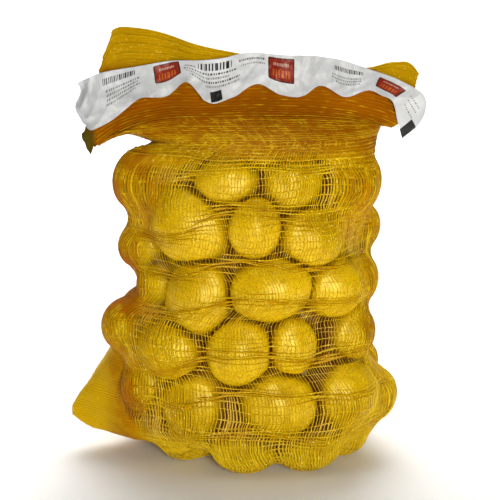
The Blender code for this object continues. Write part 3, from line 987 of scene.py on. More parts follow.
@dataclass(frozen=True)
class NetFinish:
    """Yellow knitted tape with a soft gloss, deeper where it is slack and lies layer on layer, and partly
    painted shade there; with painted shade at its left edge, in the empty corner's crease and under the film
    band, and painted glints.
    """

    name: str = "net_tape"
    taut: Colour = (0.86, 0.56, 0.003)
    # slack: deeper where the net lies layer on layer, and also painted shade where the sack's sides turn away
    # from the light
    slack: Colour = (0.54, 0.27, 0.001)
    pale: Colour = (0.90, 0.63, 0.015)
    dark: Colour = (0.44, 0.19, 0.001)
    bridging: Colour = (0.72, 0.44, 0.10)
    # deep orange-brown of net lying layer on layer, also used as painted shade
    folded_and_shaded: Colour = (0.40, 0.108, 0.0004)
    flap: Colour = (0.56, 0.36, 0.002)
    hem: Colour = (0.09, 0.06, 0.006)
    # painted glints: the colour of bright specks painted on the threads
    painted_glint: Colour = (1.0, 0.76, 0.09)
    glint: Colour = (1.0, 0.80, 0.06)
    roughness: float = 0.45
    gloss: float = 0.16
    grain: float = 1400.0
    grain_relief: float = 0.5
    grain_depth: float = 0.6 * MM
    bridging_share: float = 0.8
    painted_glint_share: float = 1.0
    glint_spots: Fade = Fade(0.67, 0.76)
    pale_tones: Fade = Fade(0.3, 2.2, 0.0, 0.75)
    dark_tones: Fade = Fade(-0.3, -2.2, 0.0, 0.75)
    # stitches of the close net: the pitch of their courses, how dark they are and how far they drift
    course: float = 2.1 * MM
    course_share: float = 0.0
    course_drift: float = 7.0
    # level swags of the slack net
    swag_stretch: tuple = (9.0, 9.0, 75.0)
    swag_scale: float = 1.6
    swag_reach: float = 30 * MM
    # the flap above the film, which starts lower at its right ear
    flap_ear: Fade = Fade(100 * MM, 114 * MM, 0.0, 16 * MM)
    flap_rise: Fade = Fade(322 * MM, 338 * MM, 0.0, 0.55)
    flap_shine: Fade = Fade(1.0, 0.2)
    # painted shade down the sack's left edge, where less light falls
    edge_across: Fade = Fade(-55 * MM, -112 * MM)
    edge_slack: Fade = Fade(0.15, 0.7, 0.0, 0.85)
    edge_top: Fade = Fade(235 * MM, 205 * MM, 0.55, 1.0)
    edge_low: Fade = Fade(114 * MM, 134 * MM, 0.35, 1.0)
    edge_foot: Fade = Fade(20 * MM, 60 * MM)
    edge_patches: tuple = (0.75, 0.3)
    # painted shade in the crease where the empty corner leaves the body
    root_out: Fade = Fade(-128 * MM, -113 * MM)
    root_in: Fade = Fade(-78 * MM, -100 * MM)
    root_top: Fade = Fade(108 * MM, 80 * MM, 0.0, 0.55)
    root_patches: tuple = (0.5, 0.75)
    # darker blotches on slack net, and the neck's folded layers, with painted shade under the film band
    blotch_slack: Fade = Fade(0.4, 1.0, 0.0, 0.40)
    blotch_top: Fade = Fade(325 * MM, 310 * MM)
    layers_rise: Fade = Fade(248 * MM, 288 * MM)
    layers_top: Fade = Fade(336 * MM, 316 * MM)
    layers_tones: Fade = Fade(0.3, 2.2, 0.92, 0.25)
    # the tail of the hem, darker than the rest of the net
    tail_across: Fade = Fade(-126 * MM, -131 * MM)
    tail_top: Fade = Fade(290 * MM, 276 * MM)
    tail_foot: Fade = Fade(200 * MM, 210 * MM)

    def thread(self, shader: Shader, slack: Socket, tone: Socket) -> Socket:
        """The colour of the thread by its slack, which is partly painted shade, its own tone and whether it
        spans a gap.
        """
        colour = shader.blend(slack, self.taut, self.slack)
        colour = shader.blend(shader.fade(tone, self.pale_tones), colour, self.pale)
        colour = shader.blend(shader.fade(tone, self.dark_tones), colour, self.dark)
        spans = shader.product(shader.attribute("bridge"), self.bridging_share)
        return shader.blend(spans, colour, self.bridging)

    def painted_glints(self, shader: Shader, slack: Socket, flap: Socket) -> Socket:
        """A mask of painted glints: bright specks painted on the taut net and on the flap."""
        knots = shader.group(Groups.mottle(), Scale=520.0, Detail=0.0, Contrast=1.0).outputs["Height"]
        lit = shader.fade(slack, Fade(1.0, 0.6, 0.0, self.painted_glint_share))
        lit = shader.sum("MAXIMUM", lit, shader.fade(flap, self.flap_rise))
        return shader.product(shader.fade(knots, self.glint_spots), lit)

    def swags(self, shader: Shader, place: Socket) -> Socket:
        """Soft level waves in which the slack net hangs."""
        drape = shader.add("ShaderNodeMapping")
        drape.inputs["Scale"].default_value = self.swag_stretch
        shader.feed(drape.inputs["Vector"], place)
        swags = shader.add("ShaderNodeTexNoise")
        shader.feed(swags.inputs["Vector"], drape.outputs["Vector"])
        swags.inputs["Scale"].default_value = self.swag_scale
        swags.inputs["Detail"].default_value = 3.0
        return swags.outputs["Fac"]

    def left_edge_shade(self, shader: Shader, x: Socket, z: Socket, slack: Socket, blotches: Socket) -> Socket:
        """A mask of painted shade at the sack's left edge."""
        edge = shader.product(shader.fade(x, self.edge_across), shader.fade(slack, self.edge_slack))
        for height in (self.edge_top, self.edge_low, self.edge_foot):
            edge = shader.product(edge, shader.fade(z, height))
        return shader.product(edge, shader.sum("MULTIPLY_ADD", blotches, *self.edge_patches))

    def corner_root_shade(self, shader: Shader, x: Socket, z: Socket, blotches: Socket) -> Socket:
        """A mask of painted shade in the crease where the empty corner leaves the body."""
        root = shader.product(shader.fade(x, self.root_out), shader.fade(x, self.root_in))
        patches = shader.sum("MULTIPLY_ADD", blotches, *self.root_patches)
        return shader.product(root, shader.fade(z, self.root_top), patches)

    def stitches(self, shader: Shader, z: Socket, swags: Socket) -> Socket:
        """A mask of the courses of the close net."""
        turns = shader.product(z, 2 * math.pi / self.course)
        lines = shader.sum("SINE", shader.sum("MULTIPLY_ADD", swags, self.course_drift, turns))
        return shader.product(shader.sum("MULTIPLY_ADD", lines, 0.5, 0.5), self.course_share)

    def neck_layers_and_shade(self, shader: Shader, z: Socket, flap: Socket, swags: Socket, tone: Socket) -> Socket:
        """A mask of the neck's folded layers and of painted shade under the film band, between the belly and
        the flap.
        """
        level = shader.sum("ADD", z, shader.sum("MULTIPLY_ADD", swags, self.swag_reach, -self.swag_reach / 2))
        between = shader.product(shader.fade(level, self.layers_rise), shader.fade(flap, self.layers_top))
        return shader.product(between, shader.fade(tone, self.layers_tones))

    def material(self) -> Material:
        """The finish as a material."""
        material, shader, bsdf = new_material(self.name, self.roughness, self.gloss, self.glint)
        place = shader.place()
        x, _, z = shader.parts(place)
        slack, tone = shader.attribute("slack"), shader.attribute("tone")
        swags = self.swags(shader, place)
        flap = shader.sum("ADD", shader.fade(x, self.flap_ear), z)
        blotches = shader.group(Groups.mottle(), Scale=44.0, Detail=6.0, Contrast=1.3).outputs["Mask"]
        painted_glints = self.painted_glints(shader, slack, flap)
        over = shader.product(shader.fade(flap, self.flap_rise), shader.fade(painted_glints, self.flap_shine))
        # darker orange blotches on the slack net
        slack_blotches = shader.product(blotches, shader.fade(slack, self.blotch_slack))
        slack_blotches = shader.product(slack_blotches, shader.fade(z, self.blotch_top))
        tail = shader.product(shader.fade(x, self.tail_across), shader.fade(z, self.tail_top))
        tail = shader.product(tail, shader.fade(z, self.tail_foot))
        coats = [
            (painted_glints, self.painted_glint),
            (self.left_edge_shade(shader, x, z, slack, blotches), self.folded_and_shaded),
            (self.corner_root_shade(shader, x, z, blotches), self.folded_and_shaded),
            (over, self.flap),
            (slack_blotches, self.folded_and_shaded),
            (self.neck_layers_and_shade(shader, z, flap, swags, tone), self.folded_and_shaded),
            (tail, self.hem),
        ]
        if self.course_share:
            coats.insert(-2, (self.stitches(shader, z, swags), self.dark))
        colour = self.thread(shader, slack, tone)
        for mask, coat in coats:
            colour = shader.blend(mask, colour, coat)
        shader.feed(bsdf.inputs["Base Color"], colour)
        grain = shader.group(Groups.mottle(), Scale=self.grain, Detail=2.0, Contrast=0.5).outputs["Height"]
        shader.relief(bsdf, grain, self.grain_relief, self.grain_depth)
        return material


@dataclass(frozen=True)
class PrintField:
    """One printed field on the band, in millimetres and degrees, with the pitch of any ticks."""

    u: float
    v: float
    half_width: float
    half_height: float
    corner: float
    turn: float
    colour: Colour
    ticks: float = 0.0


RED = (0.27, 0.020, 0.008)
MAROON = (0.07, 0.012, 0.008)
ORANGE = (0.56, 0.12, 0.012)
CREAM = (0.62, 0.42, 0.34)
INK = (0.012, 0.012, 0.012)
GREY = (0.20, 0.195, 0.18)


@dataclass(frozen=True)
class FilmFinish:
    """White printed film with soft creases. Its print is plain blocks and bars."""

    white: Colour = (0.74, 0.76, 0.80)
    shade: Colour = (0.50, 0.515, 0.54)
    shade_share: float = 0.6
    roughness: float = 0.36
    gloss: float = 0.32
    relief: float = 0.8
    relief_depth: float = 2.2 * MM
    length_mm: float = 291.0
    width_mm: float = 36.0
    # ticks of a printed bar, as shares of their pitch: where they change, how fast and how sharply
    tick_step: float = 0.28
    tick_rate: float = 9.7
    tick_edge: Fade = Fade(-0.35, 0.1)
    # each printed field's values, in the order of PrintField
    fields: tuple = (
        (-68, 24.5, 10.8, 9.4, 1.4, 6, MAROON),
        (-68, 24.5, 9.7, 8.3, 1.0, 6, RED),
        (-68, 21.0, 7.0, 3.2, 1.2, 6, ORANGE, 4.1),
        (-68.6, 28.6, 6.4, 1.2, 0.4, 6, CREAM, 2.0),
        (25, 22.0, 10.6, 10.9, 1.4, 0, MAROON),
        (25, 22.0, 9.5, 9.8, 1.0, 0, RED),
        (25, 18.4, 7.0, 3.6, 1.2, 0, ORANGE, 4.1),
        (25, 26.8, 6.4, 1.3, 0.4, 0, CREAM, 2.0),
        (114, 18.0, 10.2, 9.2, 1.4, -6, MAROON),
        (114, 18.0, 9.1, 8.1, 1.0, -6, RED),
        (114, 15.0, 6.4, 3.0, 1.2, -6, ORANGE, 4.1),
        (114.4, 22.4, 6.0, 1.2, 0.4, -6, CREAM, 2.0),
        (-108, 29.5, 13.5, 2.4, 0.4, 2, INK, 2.4),
        (-105, 22.5, 14.0, 0.9, 0.3, 2, GREY, 3.1),
        (-105, 19.3, 13.0, 0.9, 0.3, 2, GREY, 2.3),
        (-104, 16.1, 14.0, 0.9, 0.3, 2, GREY, 2.7),
        (-106, 12.9, 12.0, 0.9, 0.3, 2, GREY, 1.9),
        (-29, 29.5, 13.5, 3.1, 0.8, 0, INK, 4.6),
        (-33, 23.5, 22.0, 0.8, 0.3, 0, INK, 3.3),
        (-35, 20.0, 18.0, 0.8, 0.3, 0, GREY, 2.1),
        (-29, 16.5, 20.0, 0.8, 0.3, 0, INK, 2.9),
        (-23, 13.0, 14.0, 0.8, 0.3, 0, GREY, 2.4),
        (-49, 28.0, 4.5, 0.8, 0.3, 0, INK, 2.5),
        (1, 29.5, 11.0, 1.0, 0.3, 0, INK, 2.3),
        (2, 24.5, 10.0, 0.8, 0.3, 0, GREY, 2.7),
        (80, 26.0, 12.0, 2.3, 0.4, -3, INK, 2.1),
        (78, 18.5, 12.0, 0.9, 0.3, -3, GREY, 1.9),
        (78, 15.3, 12.0, 0.9, 0.3, -3, GREY, 2.7),
        (79, 12.1, 10.0, 0.9, 0.3, -3, GREY, 2.2),
        (134, 24.0, 5.0, 0.6, 0.3, -12, GREY, 3.0),
        (134, 19.0, 5.0, 0.6, 0.3, -12, GREY, 2.2),
        (135, 13.0, 5.0, 0.6, 0.3, -12, GREY, 2.6),
        (-28, 5.4, 4.6, 4.2, 0.5, 8, INK),
        (143, 5.4, 3.2, 6.4, 0.4, 0, INK),
    )

    def mask(self, shader: Shader, u: Socket, v: Socket, printed: PrintField) -> Socket:
        """A mask of one printed field, broken into ticks if it has them."""
        block = shader.group(
            Groups.block(),
            U=u,
            V=v,
            Centre_U=printed.u,
            Centre_V=printed.v,
            Half_Width=printed.half_width,
            Half_Height=printed.half_height,
            Corner=printed.corner,
            Turn=math.radians(printed.turn),
        ).outputs
        if not printed.ticks:
            return block["Mask"]
        step = shader.sum("SNAP", block["Across"], printed.ticks * self.tick_step)
        wave = shader.sum("SINE", shader.product(step, self.tick_rate / printed.ticks))
        return shader.product(block["Mask"], shader.fade(wave, self.tick_edge))

    def material(self) -> Material:
        """The finish as a material, on the band's own UV map."""
        material, shader, bsdf = new_material("printed_film", self.roughness, self.gloss)
        across, up, _ = shader.parts(shader.add("ShaderNodeUVMap", uv_map="band").outputs["UV"])
        u = shader.sum("MULTIPLY_ADD", across, self.length_mm, -self.length_mm / 2)
        v = shader.product(up, self.width_mm)
        patches = shader.group(Groups.mottle(), Scale=42.0, Detail=3.0, Contrast=0.4).outputs["Mask"]
        colour = shader.blend(shader.product(patches, self.shade_share), self.white, self.shade)
        for row in self.fields:
            printed = PrintField(*row)
            colour = shader.blend(self.mask(shader, u, v, printed), colour, printed.colour)
        shader.feed(bsdf.inputs["Base Color"], colour)
        creases = shader.group(Groups.mottle(), Scale=90.0, Detail=5.0, Contrast=0.6).outputs["Height"]
        shader.relief(bsdf, creases, self.relief, self.relief_depth)
        return material


@dataclass(frozen=True)
class FloorFinish:
    """A plain pale floor."""

    colour: Colour = (0.93, 0.93, 0.925)
    shade: float = 0.985
    roughness: float = 0.9
    gloss: float = 0.2

    def material(self) -> Material:
        """The finish as a material."""
        material, shader, bsdf = new_material("pale_floor", self.roughness, self.gloss)
        patches = shader.group(Groups.mottle(), Scale=3.0, Detail=2.0, Contrast=0.1).outputs["Mask"]
        shaded = tuple(self.shade * part for part in self.colour)
        shader.feed(bsdf.inputs["Base Color"], shader.blend(patches, self.colour, shaded))
        return material


# ---- Sub-assemblies ----


@dataclass
class Potatoes:
    """The potatoes, as uneven as they grow, in one piece. Those deep in the sack have fewer faces."""

    sheet: NetSheet
    fine: tuple[int, int] = (40, 24)
    coarse: tuple[int, int] = (26, 15)
    inner_from: int = 52
    # dents: their number, depth, waves over a potato, swing about their depth, and limits
    dents: int = 7
    dent_depth: float = 0.05
    dent_waves: tuple = (1.2, 3.2)
    dent_swing: float = 2.2
    dent_limits: tuple = (-0.005, 0.14)
    bluntness: float = 0.04
    most_growth: float = 0.20
    share_of_hollow: float = 0.46
    growth_halvings: int = 5
    near: float = 95 * MM
    growth_top: float = 264 * MM
    growth_fade: float = 16 * MM
    under_net: float = 0.5 * MM
    filler_step: float = 9 * MM
    filler_least: float = 11 * MM
    filler_most: float = 24 * MM
    filler_count: int = 50
    filler_slope: float = 0.8
    filler_ranges: tuple = ((-112, 112), (-76, 76), (14, 262))
    # a filler's long and short side for each unit of its room, and the most it turns
    filler_sides: tuple = (2.1, 2.0)
    filler_turn: float = 60
    seed: int = 7
    skin: BVHTree | None = field(init=False, default=None)

    def ball(self, segments: int, rings: int) -> tuple[Rows, list[list[int]]]:
        """A round blank, as points of length 1 and its faces."""
        deselect()
        bpy.ops.mesh.primitive_uv_sphere_add(segments=segments, ring_count=rings, radius=1)
        blank = bpy.context.object
        bpy.ops.object.mode_set(mode="EDIT")
        bpy.ops.mesh.select_all(action="SELECT")
        bpy.ops.transform.rotate(value=math.pi / 2, orient_axis="Y", center_override=(0, 0, 0))
        bpy.ops.object.mode_set(mode="OBJECT")
        points = np.array([vert.co for vert in blank.data.vertices])
        faces = [list(face.vertices) for face in blank.data.polygons]
        bpy.data.objects.remove(blank)
        return points, faces

    def shaped(self, ball: Rows, place: PotatoPlace, chance: random.Random) -> Rows:
        """The blank as one potato, a little flat here and blunt there.

        Args:
            ball: the blank's points.
            place: the potato's place and size.
            chance: the seeded source of unevenness.

        Returns:
            Its points, hardly outside its own round form.
        """
        dent = np.zeros(len(ball))
        for _ in range(self.dents):
            way = np.array([chance.gauss(0, 1) for _ in range(3)])
            way = way / np.linalg.norm(way) * chance.uniform(*self.dent_waves)
            dent += np.sin(ball @ way + chance.uniform(0, 2 * math.pi)) / self.dents
        dent = np.clip(self.dent_depth * (1 + self.dent_swing * dent), *self.dent_limits)
        local = ball * (1 - dent)[:, None] * place.half
        blunt = 1 + self.bluntness * np.sign(chance.random() - 0.5) * ball[:, 0]
        local[:, 1:] *= np.minimum(blunt, 1.0)[:, None]
        return place.middle + local @ place.axes

    def fillers(self) -> list[PotatoPlace]:
        """Round potatoes in the largest hollows that the others leave inside the net."""
        form = self.sheet.form
        chance = random.Random(form.seed + 1)
        lines = [np.arange(low * MM, high * MM, self.filler_step) for low, high in self.filler_ranges]
        spots = np.stack(np.meshgrid(*lines, indexing="ij"), -1).reshape(-1, 3)
        room = self.sheet.buried(spots) * self.filler_slope - self.under_net
        room = np.minimum(room, spots[:, 2] - form.floor_clearance)
        room = np.minimum(room, form.highest_top - spots[:, 2])
        for potato in self.sheet.potatoes:
            room = np.minimum(room, SackForm.clearance(spots, potato))
        made = []
        while len(made) < self.filler_count and room.max() > self.filler_least:
            best = int(room.argmax())
            radius = min(float(room[best]), self.filler_most)
            sides = [radius * side for side in self.filler_sides]
            turn = chance.uniform(-self.filler_turn, self.filler_turn)
            potato = form.placed(*spots[best], *sides, turn)
            room = np.minimum(room, SackForm.clearance(spots, potato))
            made.append(potato)
        return made

    def grown(self, points: Rows, place: PotatoPlace, places: list[PotatoPlace]) -> Rows:
        """One potato, grown out towards its neighbours and the net but clear of both.

        Args:
            points: its points.
            place: its place and size.
            places: those of every potato.

        Returns:
            Its points.
        """
        room = np.full(len(points), self.most_growth * place.half.mean())
        for other in places:
            if other is not place and np.linalg.norm(other.middle - place.middle) < self.near:
                room = np.minimum(room, SackForm.clearance(points, other) * self.share_of_hollow)
        room = np.minimum(room, self.sheet.buried(points) - self.under_net)
        room = np.maximum(room, 0) * ease(points[:, 2], self.growth_top, self.growth_top - self.growth_fade)
        away = points - place.middle
        away = away / np.linalg.norm(away, axis=-1, keepdims=True)
        for _ in range(self.growth_halvings):
            moved = points + away * room[:, None]
            past = (self.sheet.buried(moved) < self.under_net) & (room > 0)
            room = np.where(past, room * 0.5, room)
        room = np.where(past, 0, room)
        return points + away * room[:, None]

    def build(self, material: Material) -> Piece:
        """All the potatoes as one piece, with each point's depth in the sack and each potato's tone."""
        chance = random.Random(self.seed)
        blanks = (self.ball(*self.fine), self.ball(*self.coarse))
        places = self.sheet.potatoes + self.fillers()
        points, faces, tones, first = [], [], [], 0
        for number, place in enumerate(places):
            ball, corners = blanks[number >= self.inner_from]
            points.append(self.grown(self.shaped(ball, place, chance), place, places))
            faces += [[corner + first for corner in face] for face in corners]
            tones.append(np.full(len(ball), chance.random()))
            first += len(ball)
        log.info("%d potatoes", len(places))
        points = np.concatenate(points)
        self.skin = BVHTree.FromPolygons(points.tolist(), faces)
        mesh = bpy.data.meshes.new("potatoes")
        mesh.from_pydata(points.tolist(), [], faces)
        piece = shown("potatoes", mesh, material)
        set_values(piece, "buried", self.sheet.buried(points))
        set_values(piece, "tone", np.concatenate(tones))
        return piece


@dataclass(frozen=True)
class Lie:
    """How the net lies at each point of some threads, each measure from 0 to 1."""

    sides: Rows
    low: Rows
    neck: Rows
    veil: Rows
    bunched: Rows
    span: Rows
    loose: Rows


@dataclass
class Netting:
    """The knitted net: level ribs round the sack and upright strands between them."""

    sheet: NetSheet
    skin: BVHTree
    wales: int = 248
    neck_pitch: float = 3.0 * MM
    belly_pitch: float = 4.7 * MM
    pitch_jitter: float = 0.16
    last_pitch: float = 0.6
    slack_from: float = 240 * MM
    slack_full: float = 280 * MM
    rib: Thread = Thread(0.30 * MM, 0.20 * MM, 3)
    neck_rib: Thread = Thread(0.42 * MM, 0.38 * MM, 4)
    strand: Thread = Thread(0.36 * MM, 0.20 * MM, 3)
    rib_lift: float = -0.25 * MM
    neck_rib_lift: float = 0.3 * MM
    strand_lift: float = -0.1 * MM
    rib_wave: float = 0.12 * MM
    floor_gap: float = 0.05 * MM
    # how far a rib wanders between its neighbours: waves round the sack, share
    wander: float = 0.22
    wander_waves: tuple = ((3, 0.5), (8, 0.3), (19, 0.2))
    wander_turn: float = 0.15
    wander_taut: float = 1.5
    # rows from one place where the courses lie close to the next, and how far they shift
    bunch_length: float = 14.0
    bunch_depth: float = 1.35
    bunch_rows: tuple = (12, 32)
    # waves round the sack, size, phase
    bunch_drift: tuple = ((2, 1.5, 1.0), (5, 0.8, 0.4))
    bunch_uneven: tuple = (0.9, 0.17)
    # how a strand leans from rib to rib, and sways: size, turn for each wale, turn for each rib
    zigzag: float = 0.2
    slack_zigzag: float = 0.4
    sway: tuple = ((0.35, 0.37, 0.21), (0.2, 1.1, -0.4))
    # where the net is slack, with wider threads and a deeper colour that is partly painted shade: the sides'
    # share of the width, and heights
    sides_from: float = 0.70
    sides_from_high: float = 0.60
    sides_reach: float = 0.26
    sides_high: tuple = (205 * MM, 230 * MM)
    low_heights: tuple = (50 * MM, 16 * MM)
    neck_heights: tuple = (246 * MM, 286 * MM)
    widest_to: float = 250 * MM
    # places where the net lies in a second fold: x, height, radius, strength
    veils: tuple = (
        (-78, 46, 44, 0.7),
        (92, 36, 44, 0.6),
        (94, 222, 42, 1.0),
        (92, 258, 36, 1.0),
        (-98, 236, 40, 1.0),
        (-78, 262, 34, 1.0),
        (-104, 150, 30, 0.9),
        (-84, 112, 34, 0.7),
        (-112, 90, 30, 1.0),
        (0, 8, 62, 0.6),
        (52, 278, 52, 0.5),
    )
    veil_edge: tuple = (1.25, 0.55)
    # how many times as wide the threads are where they cover more
    neck_cover: float = 4.6
    side_cover: float = 3.2
    low_cover: float = 3.2
    bunch_cover: float = 3.6
    veil_cover: float = 3.4
    on_skin_width: float = 0.62
    width_spread: float = 0.25
    width_limits: tuple = (0.55, 1.9)
    width_reach: int = 5
    bunch_slack: float = 0.75
    on_skin: tuple = (2 * MM, 8 * MM)
    bridge_neck: float = 0.25
    # tones of the threads, 0 for plain, higher for paler
    neck_light: float = 1.2
    body_light: float = 0.45
    # painted light: threads paler at the lower right, where more light falls, and at the bottom, for light
    # bounced off the floor
    painted_light_right: float = 1.3
    right_across: tuple = (84 * MM, 114 * MM)
    right_heights: tuple = (104 * MM, 64 * MM)
    line_light: float = 2.4
    line_chance: float = 0.4
    tone_shares: tuple = (0.4, 0.6)
    tone_reach: int = 4
    taut_tone: float = 0.4
    golden_heights: tuple = (300 * MM, 280 * MM)
    golden_least: float = 0.2
    speckle: float = 1.2
    side_speckle: float = 0.55
    # heights at which the pieces part, and the wall of the neck
    neck_start: float = 262 * MM
    under_end: float = 4 * MM
    sheet_from: float = 284 * MM
    sheet_overlap: float = 8 * MM
    sheet_inset: float = 0.2 * MM
    sheet_wall: float = 0.3 * MM
    sheet_tone: float = -0.2
    seed: int = 19
    chance: np.random.Generator = field(init=False)
    courses: Rows = field(init=False)
    heights: Rows = field(init=False)
    slack: Rows = field(init=False)
    phases: Rows = field(init=False)

    def __post_init__(self) -> None:
        """Finds the course of each rib."""
        self.chance = np.random.default_rng(self.seed)
        line = self.sheet.points[:, self.sheet.columns * 3 // 4]
        steps = np.linalg.norm(np.diff(line, axis=0), axis=1)
        walked = np.concatenate(([0], np.cumsum(steps)))
        places, at = [], walked[1]
        while at < walked[-1] - self.neck_pitch * self.last_pitch:
            places.append(at)
            pitch = self.pitch(float(np.interp(at, walked, line[:, 2])))
            at += pitch * (1 + self.chance.uniform(-self.pitch_jitter, self.pitch_jitter))
        places.append(walked[-1])
        self.courses = np.interp(places, walked, np.arange(len(walked)))
        self.heights = np.interp(self.courses, np.arange(len(line)), line[:, 2])
        self.slack = ease(self.heights, self.slack_from, self.slack_full)
        self.phases = self.chance.uniform(0, 2 * math.pi, (len(places), 3))

    def pitch(self, height: float) -> float:
        """The distance between ribs at this height."""
        slack = float(ease(height, self.slack_from, self.slack_full))
        return self.belly_pitch + (self.neck_pitch - self.belly_pitch) * slack

    def course_row(self, number: int, turn: Rows) -> Rows:
        """The fractional row of a rib at each turn, which wanders a little up and down."""
        here = self.courses[number]
        if number in (0, len(self.courses) - 1):
            return here + np.zeros_like(turn)
        room = min(here - self.courses[number - 1], self.courses[number + 1] - here)
        total = np.zeros_like(turn)
        for (waves, size), phase in zip(self.wander_waves, self.phases[number]):
            total += size * np.sin(2 * math.pi * waves * turn + phase + self.wander_turn * number)
        taut = (1 - self.slack[number]) * float(ease(here, *self.bunch_rows))
        bunch = self.bunch_depth * np.sin(self.drawn(here, turn)) * taut
        return here + bunch + total * room * self.wander * (self.wander_taut - self.slack[number])

    def drawn(self, row: Rows, turn: Rows) -> Rows:
        """The phase of the waves in which the courses lie closer together and farther apart."""
        size, rate = self.bunch_uneven
        phase = 2 * math.pi * row / self.bunch_length + size * np.sin(rate * row)
        for waves, drift, start in self.bunch_drift:
            phase = phase + drift * np.sin(2 * math.pi * waves * turn + start)
        return phase

    def veiled(self, points: Rows) -> Rows:
        """How far a second fold of the net covers these places, from 0 to 1, on the front."""
        total = np.zeros(points.shape[:-1])
        for x, z, radius, strength in self.veils:
            away = np.hypot(points[..., 0] - x * MM, points[..., 2] - z * MM) / (radius * MM)
            total = np.maximum(total, strength * ease(away, *self.veil_edge))
        return total * (points[..., 1] < 0)

    def bridged(self, points: Rows) -> Rows:
        """0 where a point of the net lies on a potato and 1 where it spans a gap."""
        away = [self.skin.find_nearest(point)[3] for point in points.reshape(-1, 3).tolist()]
        return ease(np.array(away).reshape(points.shape[:-1]), *self.on_skin)

    def lie(self, paths: Rows, rows: Rows, turns: Rows) -> Lie:
        """How the net lies along these paths."""
        x, z = paths[..., 0], paths[..., 2]
        middle, half, _ = self.sheet.form.ring(np.clip(z, self.sheet.form.base_rise, self.widest_to))
        start = self.sides_from + (self.sides_from_high - self.sides_from) * ease(z, *self.sides_high)
        sides = smooth((np.abs(x - middle) / half - start) / self.sides_reach)
        neck, veil = ease(z, *self.neck_heights), self.veiled(paths)
        bunched = np.maximum((0.5 - 0.5 * np.cos(self.drawn(rows, turns))) ** 2, veil) * (1 - neck)
        # loose becomes the slack colour: partly denser net, partly painted shade at the sides and under the
        # film band
        loose = most(sides, neck, bunched * self.bunch_slack)
        return Lie(sides, ease(z, *self.low_heights), neck, veil, bunched, self.bridged(paths), loose)

    def streaks(self, count: int, length: int, reach: int) -> Rows:
        """Uneven values about 0 along each of several threads, each held for some places."""
        knots = self.chance.normal(0, 1, (count, length // reach + 2))
        at = np.arange(length) / reach
        low = at.astype(int)
        return knots[:, low] * (1 - (at - low)) + knots[:, low + 1] * (at - low)

    def widths(self, lie: Lie, closed: bool) -> Rows:
        """A factor on the width of the ribs, which are closed, or of the strands, at each point."""
        uneven = self.width_spread * self.streaks(*lie.span.shape, self.width_reach)
        widths = np.clip(1 + uneven, *self.width_limits)
        free = most(lie.span, lie.veil, lie.sides, lie.neck)
        widths = widths * (self.on_skin_width + (1 - self.on_skin_width) * free)
        if closed:
            return widths * (1 + (self.bunch_cover - 1) * lie.bunched)
        covers = ((self.side_cover, lie.sides), (self.low_cover, lie.low), (self.veil_cover, lie.veil))
        covered = most(*(1 + (cover - 1) * share for cover, share in covers))
        return widths * (covered + (self.neck_cover - covered) * lie.neck)

    def tones(self, lie: Lie, paths: Rows, closed: bool) -> Rows:
        """The tone of the ribs, which are closed, or of the strands, at each point."""
        count, length = lie.span.shape
        whole, local = self.tone_shares
        tones = self.chance.normal(0, 1, (count, 1)) * whole
        tones = tones + self.streaks(count, length, self.tone_reach) * local
        x, z = paths[..., 0], paths[..., 2]
        # painted light at the bottom and the lower right
        light = np.maximum(lie.low, ease(x, *self.right_across) * ease(z, *self.right_heights))
        free = self.taut_tone + (1 - self.taut_tone) * np.maximum(lie.span, lie.loose)
        tones = self.body_light + self.painted_light_right * light + tones * free
        if closed:
            lines = self.chance.random((count, 1)) < self.line_chance
            tones = tones + self.line_light * lines * (1 - lie.neck)
        golden = self.golden_least + (1 - self.golden_least) * ease(z, *self.golden_heights)
        speckle = self.chance.normal(0, self.speckle, lie.span.shape)
        if closed:
            return tones + self.neck_light * lie.neck * golden
        spread = np.maximum(lie.neck * golden, self.side_speckle * np.maximum(lie.sides, lie.veil))
        return tones + speckle * spread

    def piece(
        self, name: str, rows: Rows, turns: Rows, lift: float, thread: Thread, closed: bool, net: Material
    ) -> Piece:
        """A piece of threads on the net, each uneven in width and tone.

        Args:
            name: the piece's name.
            rows: fractional rows of the net by thread and place along it.
            turns: the turns round the net there.
            lift: how far the threads stand out.
            thread: their section.
            closed: whether each runs into its own start, as a rib does.
            net: the net's material.

        Returns:
            The piece.
        """
        points, normals = self.sheet.at(rows, turns)
        paths = points + normals * lift
        lie = self.lie(paths, rows, turns)
        widths, tones = self.widths(lie, closed), self.tones(lie, paths, closed)
        bridge = lie.span * (1 - lie.loose) * (1 - smooth(lie.neck / self.bridge_neck))
        corners, faces = threads(paths, normals, widths, thread, closed)
        corners[:, 2] = np.maximum(corners[:, 2], self.floor_gap)
        piece = mesh_piece(name, corners, faces, net)
        for label, values in (("slack", lie.loose), ("tone", tones), ("bridge", bridge)):
            set_values(piece, label, np.repeat(values.ravel(), thread.sides))
        return piece

    def rib_piece(
        self, name: str, first: int, last: int, thread: Thread, lift: float, material: Material
    ) -> Piece:
        """The ribs from the first up to the last, each one thread that waves from wale to wale."""
        count = self.wales * 2
        turn = np.arange(count) / count
        wave = np.sin(math.pi * (np.arange(count) + 0.5) / 2) * self.rib_wave / self.sheet.row_step
        rows = np.array([self.course_row(number, turn) + wave for number in range(first, last)])
        return self.piece(name, rows, np.tile(turn, (last - first, 1)), lift, thread, True, material)

    def strand_turn(self, number: int, wale: Rows) -> Rows:
        """The turn of each strand where it passes a rib: it leans one way and then the other."""
        slack = self.slack[number]
        lean = self.zigzag * (number % 2) * (1 - (1 - self.slack_zigzag) * slack)
        sway = 0.0
        for size, by_wale, by_rib in self.sway:
            sway = sway + size * np.sin(wale * by_wale + number * by_rib)
        return (wale + lean + sway * (1 - slack)) / self.wales

